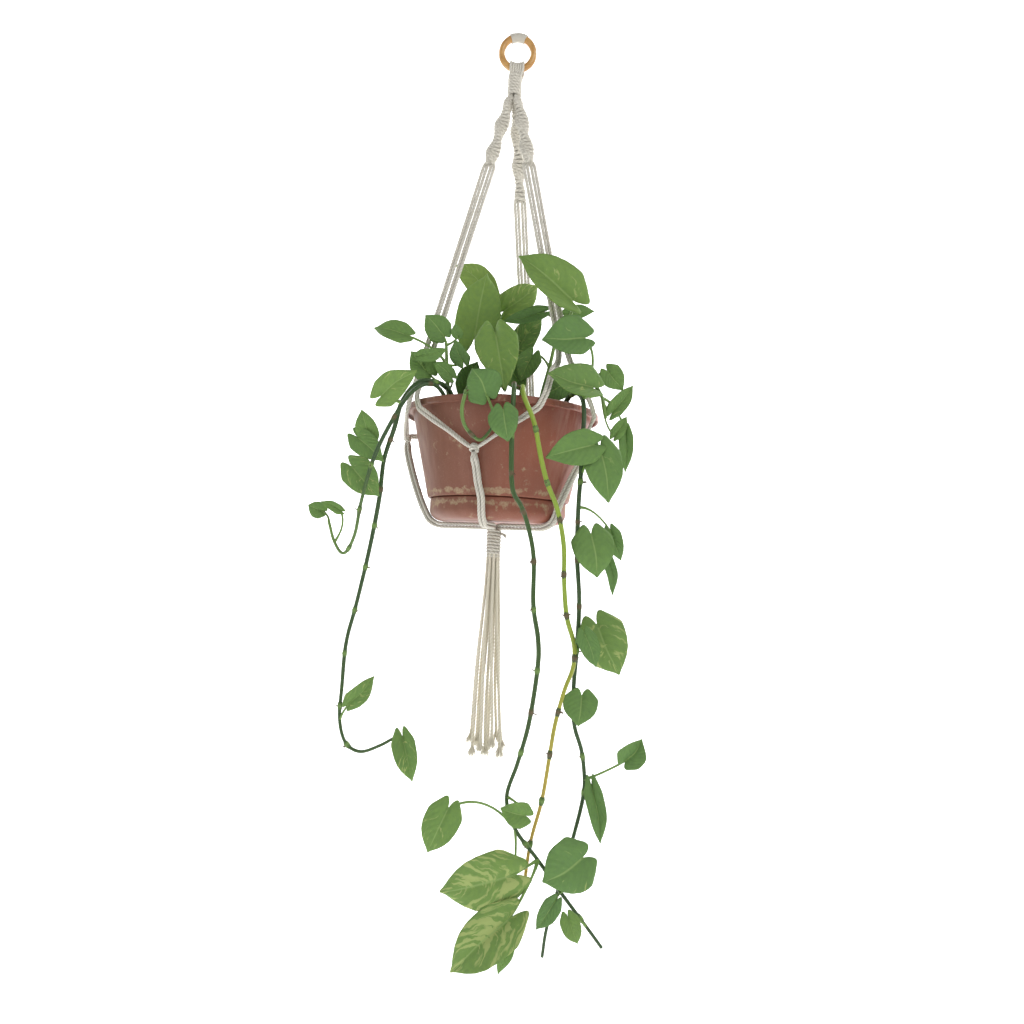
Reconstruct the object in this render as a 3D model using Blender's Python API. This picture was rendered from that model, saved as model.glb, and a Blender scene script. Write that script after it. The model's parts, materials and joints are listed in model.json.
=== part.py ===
"""Hanging macrame planter: a knotted cotton cord sling that hangs from a wooden ring and carries a round
plastic pot with a clip-on drip tray, soil and trailing pothos vines.

Metres, +Z up. The origin is where a hook bears on the underside of the ring's top. +X is the planter's
right and -Y its front. Angles round the pot are measured from +X towards +Y, so 270 degrees is the front."""

from math import atan2, cos, degrees, pi, radians, sin, sqrt

import bmesh
import bpy
from mathutils import Matrix, Vector

# Cord and gaps
CORD_D = 0.0040
CORD_PITCH = 0.00435
FIT_GAP = 0.0003

# Wooden ring
RING_MAJOR = 0.02075
RING_TUBE = 0.00425
RING_WRAP = 0.0015
RING_Z = RING_TUBE + RING_WRAP - RING_MAJOR
RING_WRAP_HALF_ANGLE = 28
RING_BAR_Z = RING_Z - RING_MAJOR
LOOPS_HALF_WIDTH = 0.0093
LOOPS_CORD = 0.0034
LOOPS_GAP = 0.0006

# Neck wrap under the ring
NECK_X = -0.002
NECK_TOP = RING_BAR_Z - RING_TUBE - LOOPS_GAP - LOOPS_CORD - FIT_GAP
NECK_BOTTOM = -0.0735
NECK_R = 0.0093

# Three arms, by the angle at which each one meets the pot's rim
ARM_ANGLES = {"left": 216, "right": 310.5, "back": 72}
SINNET_END_Z = {"left": -0.172, "right": -0.171, "back": -0.190}
SINNET_TWISTS = {"left": 2.5, "right": 2.5, "back": 3}
SINNET_R = (0.0083, 0.0056)
SINNET_TOP_R = 0.0036
SINNET_TOP_OFFSET = 0.0055
SPLIT_Z = {"left": -0.445, "right": -0.420, "back": -0.440}

# Pot and tray
RIM_R = 0.125
RIM_TOP = -0.4865
RIM_LOW = -0.4955
LIP_CLEAR = 0.0025
WALL_TOP_R = 0.114
WALL_TOP = -0.4985
WALL_LOW_R = 0.092
WALL_LOW = -0.6015
WALL = 0.0022
FOOT_R = 0.0845
FOOT_Z = -0.609
DRAIN_R = 0.006
TRAY_R = 0.0885
TRAY_BOTTOM = -0.6305
TRAY_FLAT_R = 0.072
TRAY_WALL = 0.0022
TRAY_CORNER_SQUASH = 0.85
SOIL_TOP = -0.5075

# Sling: knots that join the cords below the rim, as (angle, radius, height)
KNOTS = {"front": (255, 0.1112, -0.549), "right": (333, 0.1120, -0.546), "left": (176, 0.1235, -0.523)}
KNOT_HALF = (0.0062, 0.0050, 0.0072)
CORD_STANDOFF = CORD_D / 2 + 2 * FIT_GAP
RIM_GAP = 0.0027
HUB = (-0.003, -0.025)

# Bottom wrap and tassel
HUB_TOP = TRAY_BOTTOM - FIT_GAP
WRAP_R = 0.0097
WRAP_BALL_Z = -0.669
TASSEL_END = -0.912
TASSEL_PIVOT_R = WRAP_R + FIT_GAP

WOOD = ((0.45, 0.24, 0.07), 0.45)
COTTON = ((0.62, 0.58, 0.50), 0.9)
WARM_COTTON = ((0.66, 0.58, 0.44), 0.9)
TERRACOTTA = ((0.22, 0.085, 0.05), 0.6)
EARTH = ((0.05, 0.03, 0.02), 0.95)
LEAF_GREEN = ((0.09, 0.22, 0.04), 0.4)


def clear_scene():
    for obj in list(bpy.data.objects):
        bpy.data.objects.remove(obj, do_unlink=True)


def material(name, look):
    colour, roughness = look
    made = bpy.data.materials.new(name)
    made.use_nodes = True
    shader = made.node_tree.nodes["Principled BSDF"]
    shader.inputs["Base Color"].default_value = (*colour, 1)
    shader.inputs["Roughness"].default_value = roughness
    shader.inputs["Metallic"].default_value = 0
    return made


def add_object(name, data, look):
    obj = bpy.data.objects.new(name, data)
    bpy.context.scene.collection.objects.link(obj)
    data.materials.append(material(name, look))
    return obj


def mesh_object(name, bm, look):
    bmesh.ops.remove_doubles(bm, verts=bm.verts, dist=1e-6)
    bmesh.ops.recalc_face_normals(bm, faces=bm.faces)
    if bm.calc_volume(signed=True) < 0:
        bmesh.ops.reverse_faces(bm, faces=bm.faces)
    mesh = bpy.data.meshes.new(name)
    bm.to_mesh(mesh)
    bm.free()
    mesh.shade_smooth()
    mesh.set_sharp_from_angle(angle=radians(40))
    return add_object(name, mesh, look)


def join_rings(bm, rings, close_ends=True, loop=False):
    """Skins neighbouring rings of vertices with quads, and closes the ends with one face each."""
    pairs = list(zip(rings, rings[1:]))
    if loop:
        pairs.append((rings[-1], rings[0]))
    for low, high in pairs:
        for i in range(len(low)):
            j = (i + 1) % len(low)
            corners = list(dict.fromkeys((low[i], low[j], high[j], high[i])))
            if len(corners) > 2:
                bm.faces.new(corners)
    if close_ends and not loop:
        bm.faces.new(list(reversed(rings[0])))
        bm.faces.new(rings[-1])


def turned(name, profile, look, steps=40, closed=True):
    """A solid of revolution about Z. A closed profile that keeps off the axis gives a hollow piece."""
    bm = bmesh.new()
    rings = []
    for r, z in profile:
        ring = [
            bm.verts.new((r * cos(2 * pi * i / steps), r * sin(2 * pi * i / steps), z))
            for i in range(steps)
        ]
        rings.append(ring)
    join_rings(bm, rings, close_ends=not closed, loop=closed)
    return mesh_object(name, bm, look)


def polar(angle, r, z):
    return Vector((r * cos(radians(angle)), r * sin(radians(angle)), z))


def smooth_points(points, count):
    """count points, evenly spaced along a Catmull-Rom curve through the given ones."""
    points = [Vector(p) for p in points]
    ends = [2 * points[0] - points[1], *points, 2 * points[-1] - points[-2]]
    fine = []
    for a, b, c, d in zip(ends, ends[1:], ends[2:], ends[3:]):
        for k in range(16):
            t = k / 16
            cubic = 3 * b - a - 3 * c + d
            fine.append(0.5 * (2 * b + (c - a) * t + (2 * a - 5 * b + 4 * c - d) * t**2 + cubic * t**3))
    fine.append(points[-1])
    return evenly(fine, count)


def evenly(points, count):
    lengths = [0]
    for a, b in zip(points, points[1:]):
        lengths.append(lengths[-1] + (b - a).length)
    found = []
    k = 0
    for i in range(count):
        goal = lengths[-1] * i / (count - 1)
        while k < len(points) - 2 and lengths[k + 1] < goal:
            k += 1
        part = (goal - lengths[k]) / max(lengths[k + 1] - lengths[k], 1e-9)
        found.append(points[k].lerp(points[k + 1], min(part, 1)))
    return found


def thinned(points, tolerance=0.0003):
    """The points without those that lie, within the tolerance, on the straight line between kept ones."""
    kept = [points[0]]
    start = 0
    for end in range(2, len(points)):
        line = (points[end] - points[start]).normalized()
        steps = [p - points[start] for p in points[start + 1 : end]]
        away = max((step - line * step.dot(line)).length for step in steps)
        if away > tolerance:
            start = end - 1
            kept.append(points[start])
    return [*kept, points[-1]]


def tangents(points):
    found = []
    for i in range(len(points)):
        before = points[max(i - 1, 0)]
        after = points[min(i + 1, len(points) - 1)]
        found.append((after - before).normalized())
    return found


def cord_tube(name, points, look=COTTON, sides=1):
    """One cord: a round tube along the points, its ends capped."""
    curve = bpy.data.curves.new(name, "CURVE")
    curve.dimensions = "3D"
    curve.bevel_depth = CORD_D / 2
    curve.bevel_resolution = sides
    curve.use_fill_caps = True
    spline = curve.splines.new("POLY")
    spline.points.add(len(points) - 1)
    for point, place in zip(spline.points, points):
        point.co = (*place, 1)
    return add_object(name, curve, look)


# ---- ring, loops and neck ----


def arc_frame(angle):
    """Centre and outward direction of the ring's bar at an angle from its top."""
    outward = Vector((sin(angle), 0, cos(angle)))
    return Vector((0, 0, RING_Z)) + RING_MAJOR * outward, outward


def bar_ring(bm, angle, radius, sides):
    centre, outward = arc_frame(angle)
    side = Vector((0, 1, 0))
    return [
        bm.verts.new(centre + radius * (outward * cos(2 * pi * i / sides) + side * sin(2 * pi * i / sides)))
        for i in range(sides)
    ]


def add_wooden_ring():
    bm = bmesh.new()
    rings = [bar_ring(bm, 2 * pi * k / 32, RING_TUBE, 10) for k in range(32)]
    join_rings(bm, rings, loop=True)
    return mesh_object("wooden_ring", bm, WOOD)


def add_ring_top_wrap():
    """A sleeve of fine cord round the top of the ring, where the hook bears."""
    bm = bmesh.new()
    half = radians(RING_WRAP_HALF_ANGLE)
    angles = [half * (2 * k / 8 - 1) for k in range(9)]
    outer = [bar_ring(bm, a, RING_TUBE + RING_WRAP, 12) for a in angles]
    inner = [bar_ring(bm, a, RING_TUBE + FIT_GAP, 12) for a in reversed(angles)]
    join_rings(bm, outer + inner, loop=True)
    return mesh_object("ring_top_wrap", bm, COTTON)


def add_ring_loops():
    """The fold of the cords over the ring's lower bar, turned about the line that they swing on."""
    bm = bmesh.new()
    stations = [LOOPS_HALF_WIDTH * (2 * k / 6 - 1) for k in range(7)]
    sides = 16

    def circle(x, radius):
        turns = [2 * pi * i / sides for i in range(sides)]
        return [bm.verts.new((x, radius * cos(a), RING_BAR_Z + radius * sin(a))) for a in turns]

    def bore(x):
        return (RING_TUBE + RING_MAJOR - sqrt(RING_MAJOR**2 - x**2)) / cos(pi / sides) + LOOPS_GAP

    inner = [circle(x, bore(x)) for x in stations]
    outer = [circle(x, RING_TUBE + LOOPS_GAP + LOOPS_CORD) for x in reversed(stations)]
    join_rings(bm, inner + outer, loop=True)
    return mesh_object("ring_loops", bm, COTTON)


def coil_profile(r, top, bottom, turns):
    """The outline of turns of cord lying on each other, from top to bottom, with a groove between turns."""
    profile = []
    pitch = (top - bottom) / turns
    for k in range(turns):
        high = top - k * pitch
        profile += [(r - 0.0007, high), (r, high - pitch / 2)]
    return [*profile, (r - 0.0007, bottom)]


def add_neck_wrap():
    obj = turned("neck_wrap", coil_profile(NECK_R, NECK_TOP, NECK_BOTTOM, 7), COTTON, 18, closed=False)
    obj.location.x = NECK_X
    return obj


# ---- arms ----


def arm_line(arm, z):
    """The middle of an arm at a height: a straight run from the neck to the pot's rim."""
    angle = ARM_ANGLES[arm]
    top = polar(angle, SINNET_TOP_OFFSET, NECK_BOTTOM) + Vector((NECK_X, 0, 0))
    rim = polar(angle, RIM_R + RIM_GAP + CORD_D / 2, RIM_TOP)
    return top.lerp(rim, (z - NECK_BOTTOM) / (RIM_TOP - NECK_BOTTOM))


def add_sinnet(arm):
    """A spiral of half knots: an oval bar that twists as it comes down from the neck."""
    bm = bmesh.new()
    start = NECK_BOTTOM - FIT_GAP
    rings = []
    levels = 15
    for k in range(levels):
        t = k / (levels - 1)
        centre = arm_line(arm, start + (SINNET_END_Z[arm] - start) * t)
        grow = min(1, SINNET_TOP_R / SINNET_R[0] + (1 - SINNET_TOP_R / SINNET_R[0]) * t / 0.25)
        turn = SINNET_TWISTS[arm] * pi * t
        ring = []
        for i in range(10):
            a = 2 * pi * i / 10
            x = SINNET_R[0] * grow * cos(a)
            y = max(SINNET_R[1] * grow, SINNET_TOP_R * 0.8) * sin(a)
            ring.append(bm.verts.new(centre + Matrix.Rotation(turn, 3, "Z") @ Vector((x, y, 0))))
        rings.append(ring)
    join_rings(bm, rings)
    return mesh_object(f"sinnet_{arm}", bm, COTTON)


def wall_radius(z):
    """How far the pot reaches out at a height, its lip counted down to where a cord passes under it."""
    if z > RIM_LOW - LIP_CLEAR:
        return RIM_R
    part = (WALL_TOP - z) / (WALL_TOP - WALL_LOW)
    return WALL_TOP_R + (WALL_LOW_R - WALL_TOP_R) * min(part, 1)


def taut(start, end, clear, steps=14):
    """A cord pulled tight round the pot's wall from start to end, standing clear of the wall."""
    found = []
    for k in range(1, steps):
        point = Vector(start).lerp(Vector(end), k / steps)
        flat = Vector((point.x, point.y, 0))
        least = wall_radius(point.z) + clear
        if flat.length < least:
            flat = flat.normalized() * least
        found.append(Vector((flat.x, flat.y, point.z)))
    return found


# Each pair of cords: its arm, the angle where its outer cord crosses the rim, the knot that it goes to,
# and the way round the pot that it runs to get there, 1 for a growing angle and -1 for a falling one.
PAIRS = [
    ("left", 219.5, "front", 1),
    ("left", 208, "left", -1),
    ("right", 291.5, "front", -1),
    ("right", 331, "right", 1),
    ("back", 65.5, "right", -1),
    ("back", 78.5, "left", 1),
]
RIM_CROSSING_R = RIM_R + RIM_GAP + CORD_D / 2
RIM_SLANT = (1.2, 2.2)
SPLIT_SLOPE = 0.37
STACK_ANGLE = 75


def knot_centre(knot):
    return polar(*KNOTS[knot])


def knot_entry(knot, way):
    """Where a pair meets the side of its knot, coming the given way round the pot."""
    angle, r, z = KNOTS[knot]
    side = KNOT_HALF[0] + CORD_D / 2 + FIT_GAP
    return polar(angle - way * degrees(side / r), r - 0.0012, z + 0.0052)


def pair_path(arm, angle, knot, way):
    """The route of a pair's outer cord: down the arm, over the rim, and round the wall to the knot."""
    end_z = SINNET_END_Z[arm]
    across = Vector((1 if polar(angle, 1, 0).x > polar(ARM_ANGLES[arm], 1, 0).x else -1, 0, 0))
    top = arm_line(arm, end_z) + across * 1.6 * CORD_PITCH - Vector((0, 0, 0.0024))
    over = polar(angle - way * RIM_SLANT[0], RIM_CROSSING_R, RIM_TOP + 0.002)
    split = arm_line(arm, SPLIT_Z[arm]) + across * 1.5 * CORD_PITCH
    flat = Vector((split.x, split.y, 0))
    least = RIM_CROSSING_R - SPLIT_SLOPE * (split.z - RIM_TOP)
    split += flat.normalized() * max(least - flat.length, 0)
    points = [top, top.lerp(split, 0.5), split]
    points += [split.lerp(over, t) for t in (0.5, 0.9)]
    points.append(polar(angle, RIM_CROSSING_R, RIM_TOP - 0.002))
    under = polar(angle + way * RIM_SLANT[1], RIM_CROSSING_R, RIM_LOW - LIP_CLEAR)
    points.append(under)
    points += taut(under, knot_entry(knot, way), CORD_STANDOFF)
    points.append(knot_entry(knot, way))
    return points, across


def inner_offset(points, arm, way, across):
    """Where the pair's second cord lies beside each point of the first: next to it, then half over it."""
    face_top = Vector((0, 1 if arm == "back" else -1, 0))
    found = []
    for point, along in zip(points, tangents(points)):
        down = min(max((SINNET_END_Z[arm] - point.z) / (SINNET_END_Z[arm] - RIM_TOP), 0), 1)
        radial = Vector((point.x, point.y, 0)).normalized()
        outward = face_top.slerp(radial, down) if down < 1 else radial
        outward = (outward - along * outward.dot(along)).normalized()
        side = along.cross(outward).normalized()
        reference = (-across).lerp(polar(degrees(atan2(point.y, point.x)) - way * 90, 1, 0), down)
        if down >= 1:
            reference = Vector((0, 0, -1)) - 0.4 * way * polar(degrees(atan2(point.y, point.x)) + 90, 1, 0)
        if side.dot(reference) < 0:
            side = -side
        below = min(max((RIM_LOW - point.z) / 0.03, 0), 1)
        lean = radians(STACK_ANGLE) * below
        found.append(point + CORD_PITCH * (side * cos(lean) + outward * sin(lean)))
    return found


def add_arm_cords():
    for arm, angle, knot, way in PAIRS:
        points, across = pair_path(arm, angle, knot, way)
        outer = smooth_points(points, 110)
        inner = inner_offset(outer, arm, way, across)
        cord_tube(f"cord_{arm}_to_{knot}_outer", thinned(outer))
        cord_tube(f"cord_{arm}_to_{knot}_inner", thinned(inner))


# ---- knots and sling ----


def add_knot(knot):
    angle, r, z = KNOTS[knot]
    bm = bmesh.new()
    bmesh.ops.create_uvsphere(bm, u_segments=10, v_segments=7, radius=1)
    obj = mesh_object(f"knot_{knot}", bm, COTTON)
    obj.data.transform(Matrix.Diagonal((KNOT_HALF[1], KNOT_HALF[0], KNOT_HALF[2], 1)))
    obj.rotation_euler.z = radians(angle)
    obj.location = knot_centre(knot)
    return obj


# The middle line of each bundle of four cords below its knot, as (angle, radius, height)
TRAY_CLEAR = CORD_STANDOFF + 0.0004
BUNDLES = {
    "front": [(255.5, 0.1040, -0.566), (257, 0.0995, -0.588), (259, 0.0962, -0.604)],
    "right": [(330, 0.1085, -0.562), (325, 0.1030, -0.583), (321, 0.0975, -0.604)],
    "left": [(178, 0.1185, -0.546), (181, 0.1090, -0.577), (184, 0.0985, -0.605)],
}


def bundle_path(knot):
    """Down the wall from a knot, round the tray's corner and under the tray to the hub."""
    angle, r, z = KNOTS[knot]
    last = BUNDLES[knot][-1]
    points = [polar(angle, r - 0.0025, z - KNOT_HALF[2] - 0.0022)]
    points += [polar(*p) for p in BUNDLES[knot]]
    corner = TRAY_R - TRAY_FLAT_R + TRAY_CLEAR
    for turn in (15, 45, 75):
        out = TRAY_FLAT_R + corner * cos(radians(turn))
        down = TRAY_BOTTOM - TRAY_CLEAR + corner * TRAY_CORNER_SQUASH * (1 - sin(radians(turn)))
        points.append(polar(last[0], out, down))
    level = TRAY_BOTTOM - TRAY_CLEAR
    edge = polar(last[0], TRAY_FLAT_R - 0.004, level)
    hub = Vector((*HUB, level))
    points.append(edge)
    points.append(edge.lerp(hub, 0.5))
    points.append(hub + (edge - hub).normalized() * (WRAP_R + 0.0006))
    return points


def bundle_frames(points, hub_side):
    """For each point: the way across the bundle, and the way out from the pot."""
    found = []
    across = Vector((0, 0, 1)).cross(hub_side).normalized()
    for along in tangents(points):
        level = (across - along * across.dot(along)).normalized()
        out = along.cross(level).normalized()
        found.append((level, out if out.dot(hub_side) > 0 or out.z < 0 else -out))
    return found


def add_sling_cords(knot):
    centre = smooth_points(bundle_path(knot), 60)
    flat = centre[40] - Vector((*HUB, 0))
    hub_side = Vector((flat.x, flat.y, 0)).normalized()
    frames = bundle_frames(centre, hub_side)
    for row in range(2):
        for column in (-0.5, 0.5):
            shifts = [CORD_PITCH * (column * across + row * out) for across, out in frames]
            place = [p + shift for p, shift in zip(centre, shifts)]
            side = "a" if column < 0 else "b"
            cord_tube(f"sling_{knot}_{'outer' if row else 'inner'}_{side}", thinned(place))


def add_bottom_wrap():
    """The gathering wrap. Its rounded lower end is the ball on which the tassel swings."""
    profile = coil_profile(WRAP_R, HUB_TOP - 0.0095, WRAP_BALL_Z, 8)
    profile = [(WRAP_R - 0.0012, HUB_TOP), (WRAP_R - 0.0007, HUB_TOP - 0.009), *profile[1:-1]]
    profile.append((WRAP_R, WRAP_BALL_Z))
    for k in (1, 2, 3):
        a = radians(27 * k)
        profile.append((WRAP_R * cos(a), WRAP_BALL_Z - WRAP_R * sin(a)))
    obj = turned("bottom_wrap", profile, COTTON, 20, closed=False)
    obj.data.transform(Matrix.Translation((*HUB, 0)))
    join_helper(obj, wrap_tail_mesh(), "tail")


def wrap_tail_mesh():
    """The end of the wrapping cord, left sticking out at the right of the wrap."""
    root = Vector((HUB[0] + WRAP_R, HUB[1] - 0.001, HUB_TOP - 0.0152))
    steps = [
        (-0.003, 0.001, 0), (0.003, -0.0015, 0.0004), (0.006, -0.003, -0.0018), (0.008, -0.004, -0.0055),
    ]
    bm = bmesh.new()
    stem_mesh(bm, [root + Vector(step) for step in steps], CORD_D / 2, sides=8)
    return mesh_object("wrap_tail", bm, COTTON)


def join_helper(obj, helper, label):
    """Unites obj with a helper solid, which is then left out of the part itself."""
    helper.hide_render = True
    helper.display_type = "WIRE"
    union = obj.modifiers.new(label, "BOOLEAN")
    union.operation = "UNION"
    union.object = helper
    union.use_self = True


# Where each tassel cord leaves the wrap: three inside a ring of nine
TASSEL_PLACES = [(0.00255, 30 + 120 * k) for k in range(3)] + [(0.0070, 40 * k) for k in range(9)]
TASSEL_SPREAD = 3.0
TASSEL_POINTS = 19


def tassel_path(index):
    """A cord of the tassel hanging down from the wrap, spreading a little, with a slow wave."""
    radius, angle = TASSEL_PLACES[index]
    top = WRAP_BALL_Z - sqrt(TASSEL_PIVOT_R**2 - max(radius - CORD_D / 2, 0) ** 2) - 0.0002
    end = TASSEL_END + 0.008 * sin(2.1 * index)
    points = []
    for k in range(8):
        t = k / 7
        spread = 1 + (TASSEL_SPREAD - 1) * t**1.2
        wave = 0.0022 * t * sin(5.2 * t + 0.35 * index)
        turn = radians(angle + 10 * t)
        x = HUB[0] + radius * spread * cos(turn) + wave
        y = HUB[1] + radius * spread * sin(turn) + 0.6 * wave
        points.append((x, y, top + (end - top) * t))
    return points


def add_tassel():
    for index in range(len(TASSEL_PLACES)):
        points = smooth_points(tassel_path(index), TASSEL_POINTS)
        cord_tube(f"tassel_cord_{index + 1}", points, WARM_COTTON, sides=2)


# ---- pot ----


def add_pot():
    """The pot: a tapered wall with a rolled lip, open below between lip and wall, and a foot in the tray."""
    outer = [
        (RIM_R - 0.0012, RIM_TOP),
        (RIM_R, RIM_TOP - 0.0015),
        (RIM_R, RIM_LOW),
        (RIM_R - 0.0020, RIM_LOW),
        (RIM_R - 0.0026, RIM_TOP - 0.0040),
        (WALL_TOP_R + 0.0012, RIM_TOP - 0.0045),
        (WALL_TOP_R, WALL_TOP),
        (WALL_LOW_R, WALL_LOW + 0.0012),
        (WALL_LOW_R - 0.0012, WALL_LOW),
        (FOOT_R, WALL_LOW),
        (FOOT_R - 0.0008, FOOT_Z),
        (DRAIN_R, FOOT_Z),
    ]
    inner = [
        (DRAIN_R, FOOT_Z + WALL),
        (FOOT_R - WALL - 0.0008, FOOT_Z + WALL),
        (WALL_LOW_R - WALL - 0.0050, WALL_LOW + WALL + 0.0015),
        (WALL_LOW_R - WALL, WALL_LOW + 0.0100),
        (WALL_TOP_R - WALL, WALL_TOP),
        (WALL_TOP_R - WALL + 0.0012, RIM_TOP - 0.0018),
        (WALL_TOP_R + 0.0008, RIM_TOP),
    ]
    return turned("pot", outer + inner, TERRACOTTA, 36)


def add_drip_tray():
    """The clip-on tray: the pot's shoulder sits on its edge."""
    top = WALL_LOW - FIT_GAP - 0.0005
    inside = FOOT_R + 0.0006
    profile = [(inside, top), (TRAY_R - 0.0008, top), (TRAY_R, top - 0.0008)]
    corner = TRAY_R - TRAY_FLAT_R
    for k in range(5):
        a = radians(90 * k / 4)
        rise = corner * TRAY_CORNER_SQUASH * (1 - sin(a))
        profile.append((TRAY_FLAT_R + corner * cos(a), TRAY_BOTTOM + rise))
    profile.append((0.002, TRAY_BOTTOM))
    profile.append((0.002, TRAY_BOTTOM + TRAY_WALL))
    profile.append((TRAY_FLAT_R, TRAY_BOTTOM + TRAY_WALL))
    profile.append((inside - 0.0020, TRAY_BOTTOM + 0.0100))
    return turned("drip_tray", profile, TERRACOTTA, 36)


def add_soil():
    inside = WALL + 0.0006
    profile = [
        (0.020, SOIL_TOP + 0.002),
        (0.070, SOIL_TOP + 0.001),
        (wall_radius(SOIL_TOP) - inside, SOIL_TOP),
        (WALL_LOW_R - inside, WALL_LOW + 0.0110),
        (WALL_LOW_R - inside - 0.008, WALL_LOW + WALL + 0.0030),
    ]
    return turned("soil", profile, EARTH, 36, closed=False)


# ---- plant ----

# Stems, from root end to tip, in millimetres
STEMS = {
    "crown_left": (2.6, [(-60, -52, -501.2), (-66, -66, -470), (-68, -74, -440), (-70, -72, -415)]),
    "crown_centre": (2.6, [(-12, -30, -502.6), (-12, -32, -470), (-10, -25, -430), (-5, -12, -385)]),
    "crown_right": (2.6, [(45, -35, -502.3), (50, -38, -465), (58, -40, -430), (66, -36, -385)]),
    "crown_far_right": (
        2.4,
        [
            (70, -18, -503.3), (84, -40, -468), (99, -60, -455), (111, -77, -456), (121, -90, -474),
            (126, -90, -498),
        ],
    ),
    "vine_left_long": (
        2.4,
        [
            (-50, -62, -500.6), (-64, -80, -470), (-80, -97, -464), (-99, -100, -466), (-119, -86, -488),
            (-128, -79, -520), (-140, -70, -557), (-144, -66, -600), (-150, -62, -640), (-158, -60, -685),
            (-169, -58, -739), (-179, -58, -785), (-182, -58, -840), (-183, -58, -880), (-174, -60, -908),
            (-155, -64, -917), (-132, -68, -908), (-112, -70, -896),
        ],
    ),
    "vine_left_short": (
        2.1,
        [
            (-58, -78, -499.6), (-74, -92, -471), (-90, -106, -469), (-108, -112, -484), (-128, -116, -520),
            (-146, -110, -560), (-160, -100, -610), (-168, -90, -650), (-182, -80, -674), (-196, -72, -660),
            (-205, -66, -636),
        ],
    ),
    "vine_centre": (
        2.4,
        [
            (14, -88, -499), (15, -104, -470), (15, -122, -466), (15, -134, -480), (15, -137, -526),
            (18, -137, -586), (29, -136, -607), (38, -135, -630), (46, -135, -666), (48, -135, -720),
            (55, -135, -758), (56, -135, -790), (49, -135, -853), (38, -135, -900), (27, -135, -940),
            (38, -135, -975), (66, -135, -1010), (93, -135, -1045), (125, -133, -1085), (143, -132, -1108),
        ],
    ),
    "vine_yellow": (
        2.4,
        [
            (24, -80, -499.5), (24, -98, -476), (25, -118, -468), (27, -132, -482), (40, -135, -512),
            (49, -134, -550), (58, -132, -580), (71, -131, -610), (80, -130, -651), (82, -130, -690),
            (87, -129, -732), (97, -128, -764), (97, -128, -790), (88, -128, -817), (79, -127, -857),
            (74, -126, -897), (68, -124, -945), (57, -122, -995), (52, -120, -1045),
        ],
    ),
    "vine_right": (
        2.4,
        [
            (72, -48, -501.5), (80, -62, -474), (90, -82, -468), (97, -98, -478), (99, -104, -500),
            (98, -106, -527), (98, -105, -567), (97, -103, -605), (98, -101, -662), (103, -99, -715),
            (103, -98, -767), (101, -97, -828), (104, -96, -865), (114, -95, -895), (119, -95, -930),
            (117, -95, -958), (106, -94, -1010), (94, -92, -1060), (82, -90, -1110), (78, -90, -1145),
        ],
    ),
    "front_loop": (
        2.0,
        [
            (-30, -92, -498.7), (-34, -108, -474), (-38, -124, -473), (-42, -134, -490), (-43, -137, -504),
            (-39, -137, -519), (-30, -137, -529), (-20, -137, -535), (-8, -138, -520), (-6, -139, -510),
        ],
    ),
}

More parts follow.
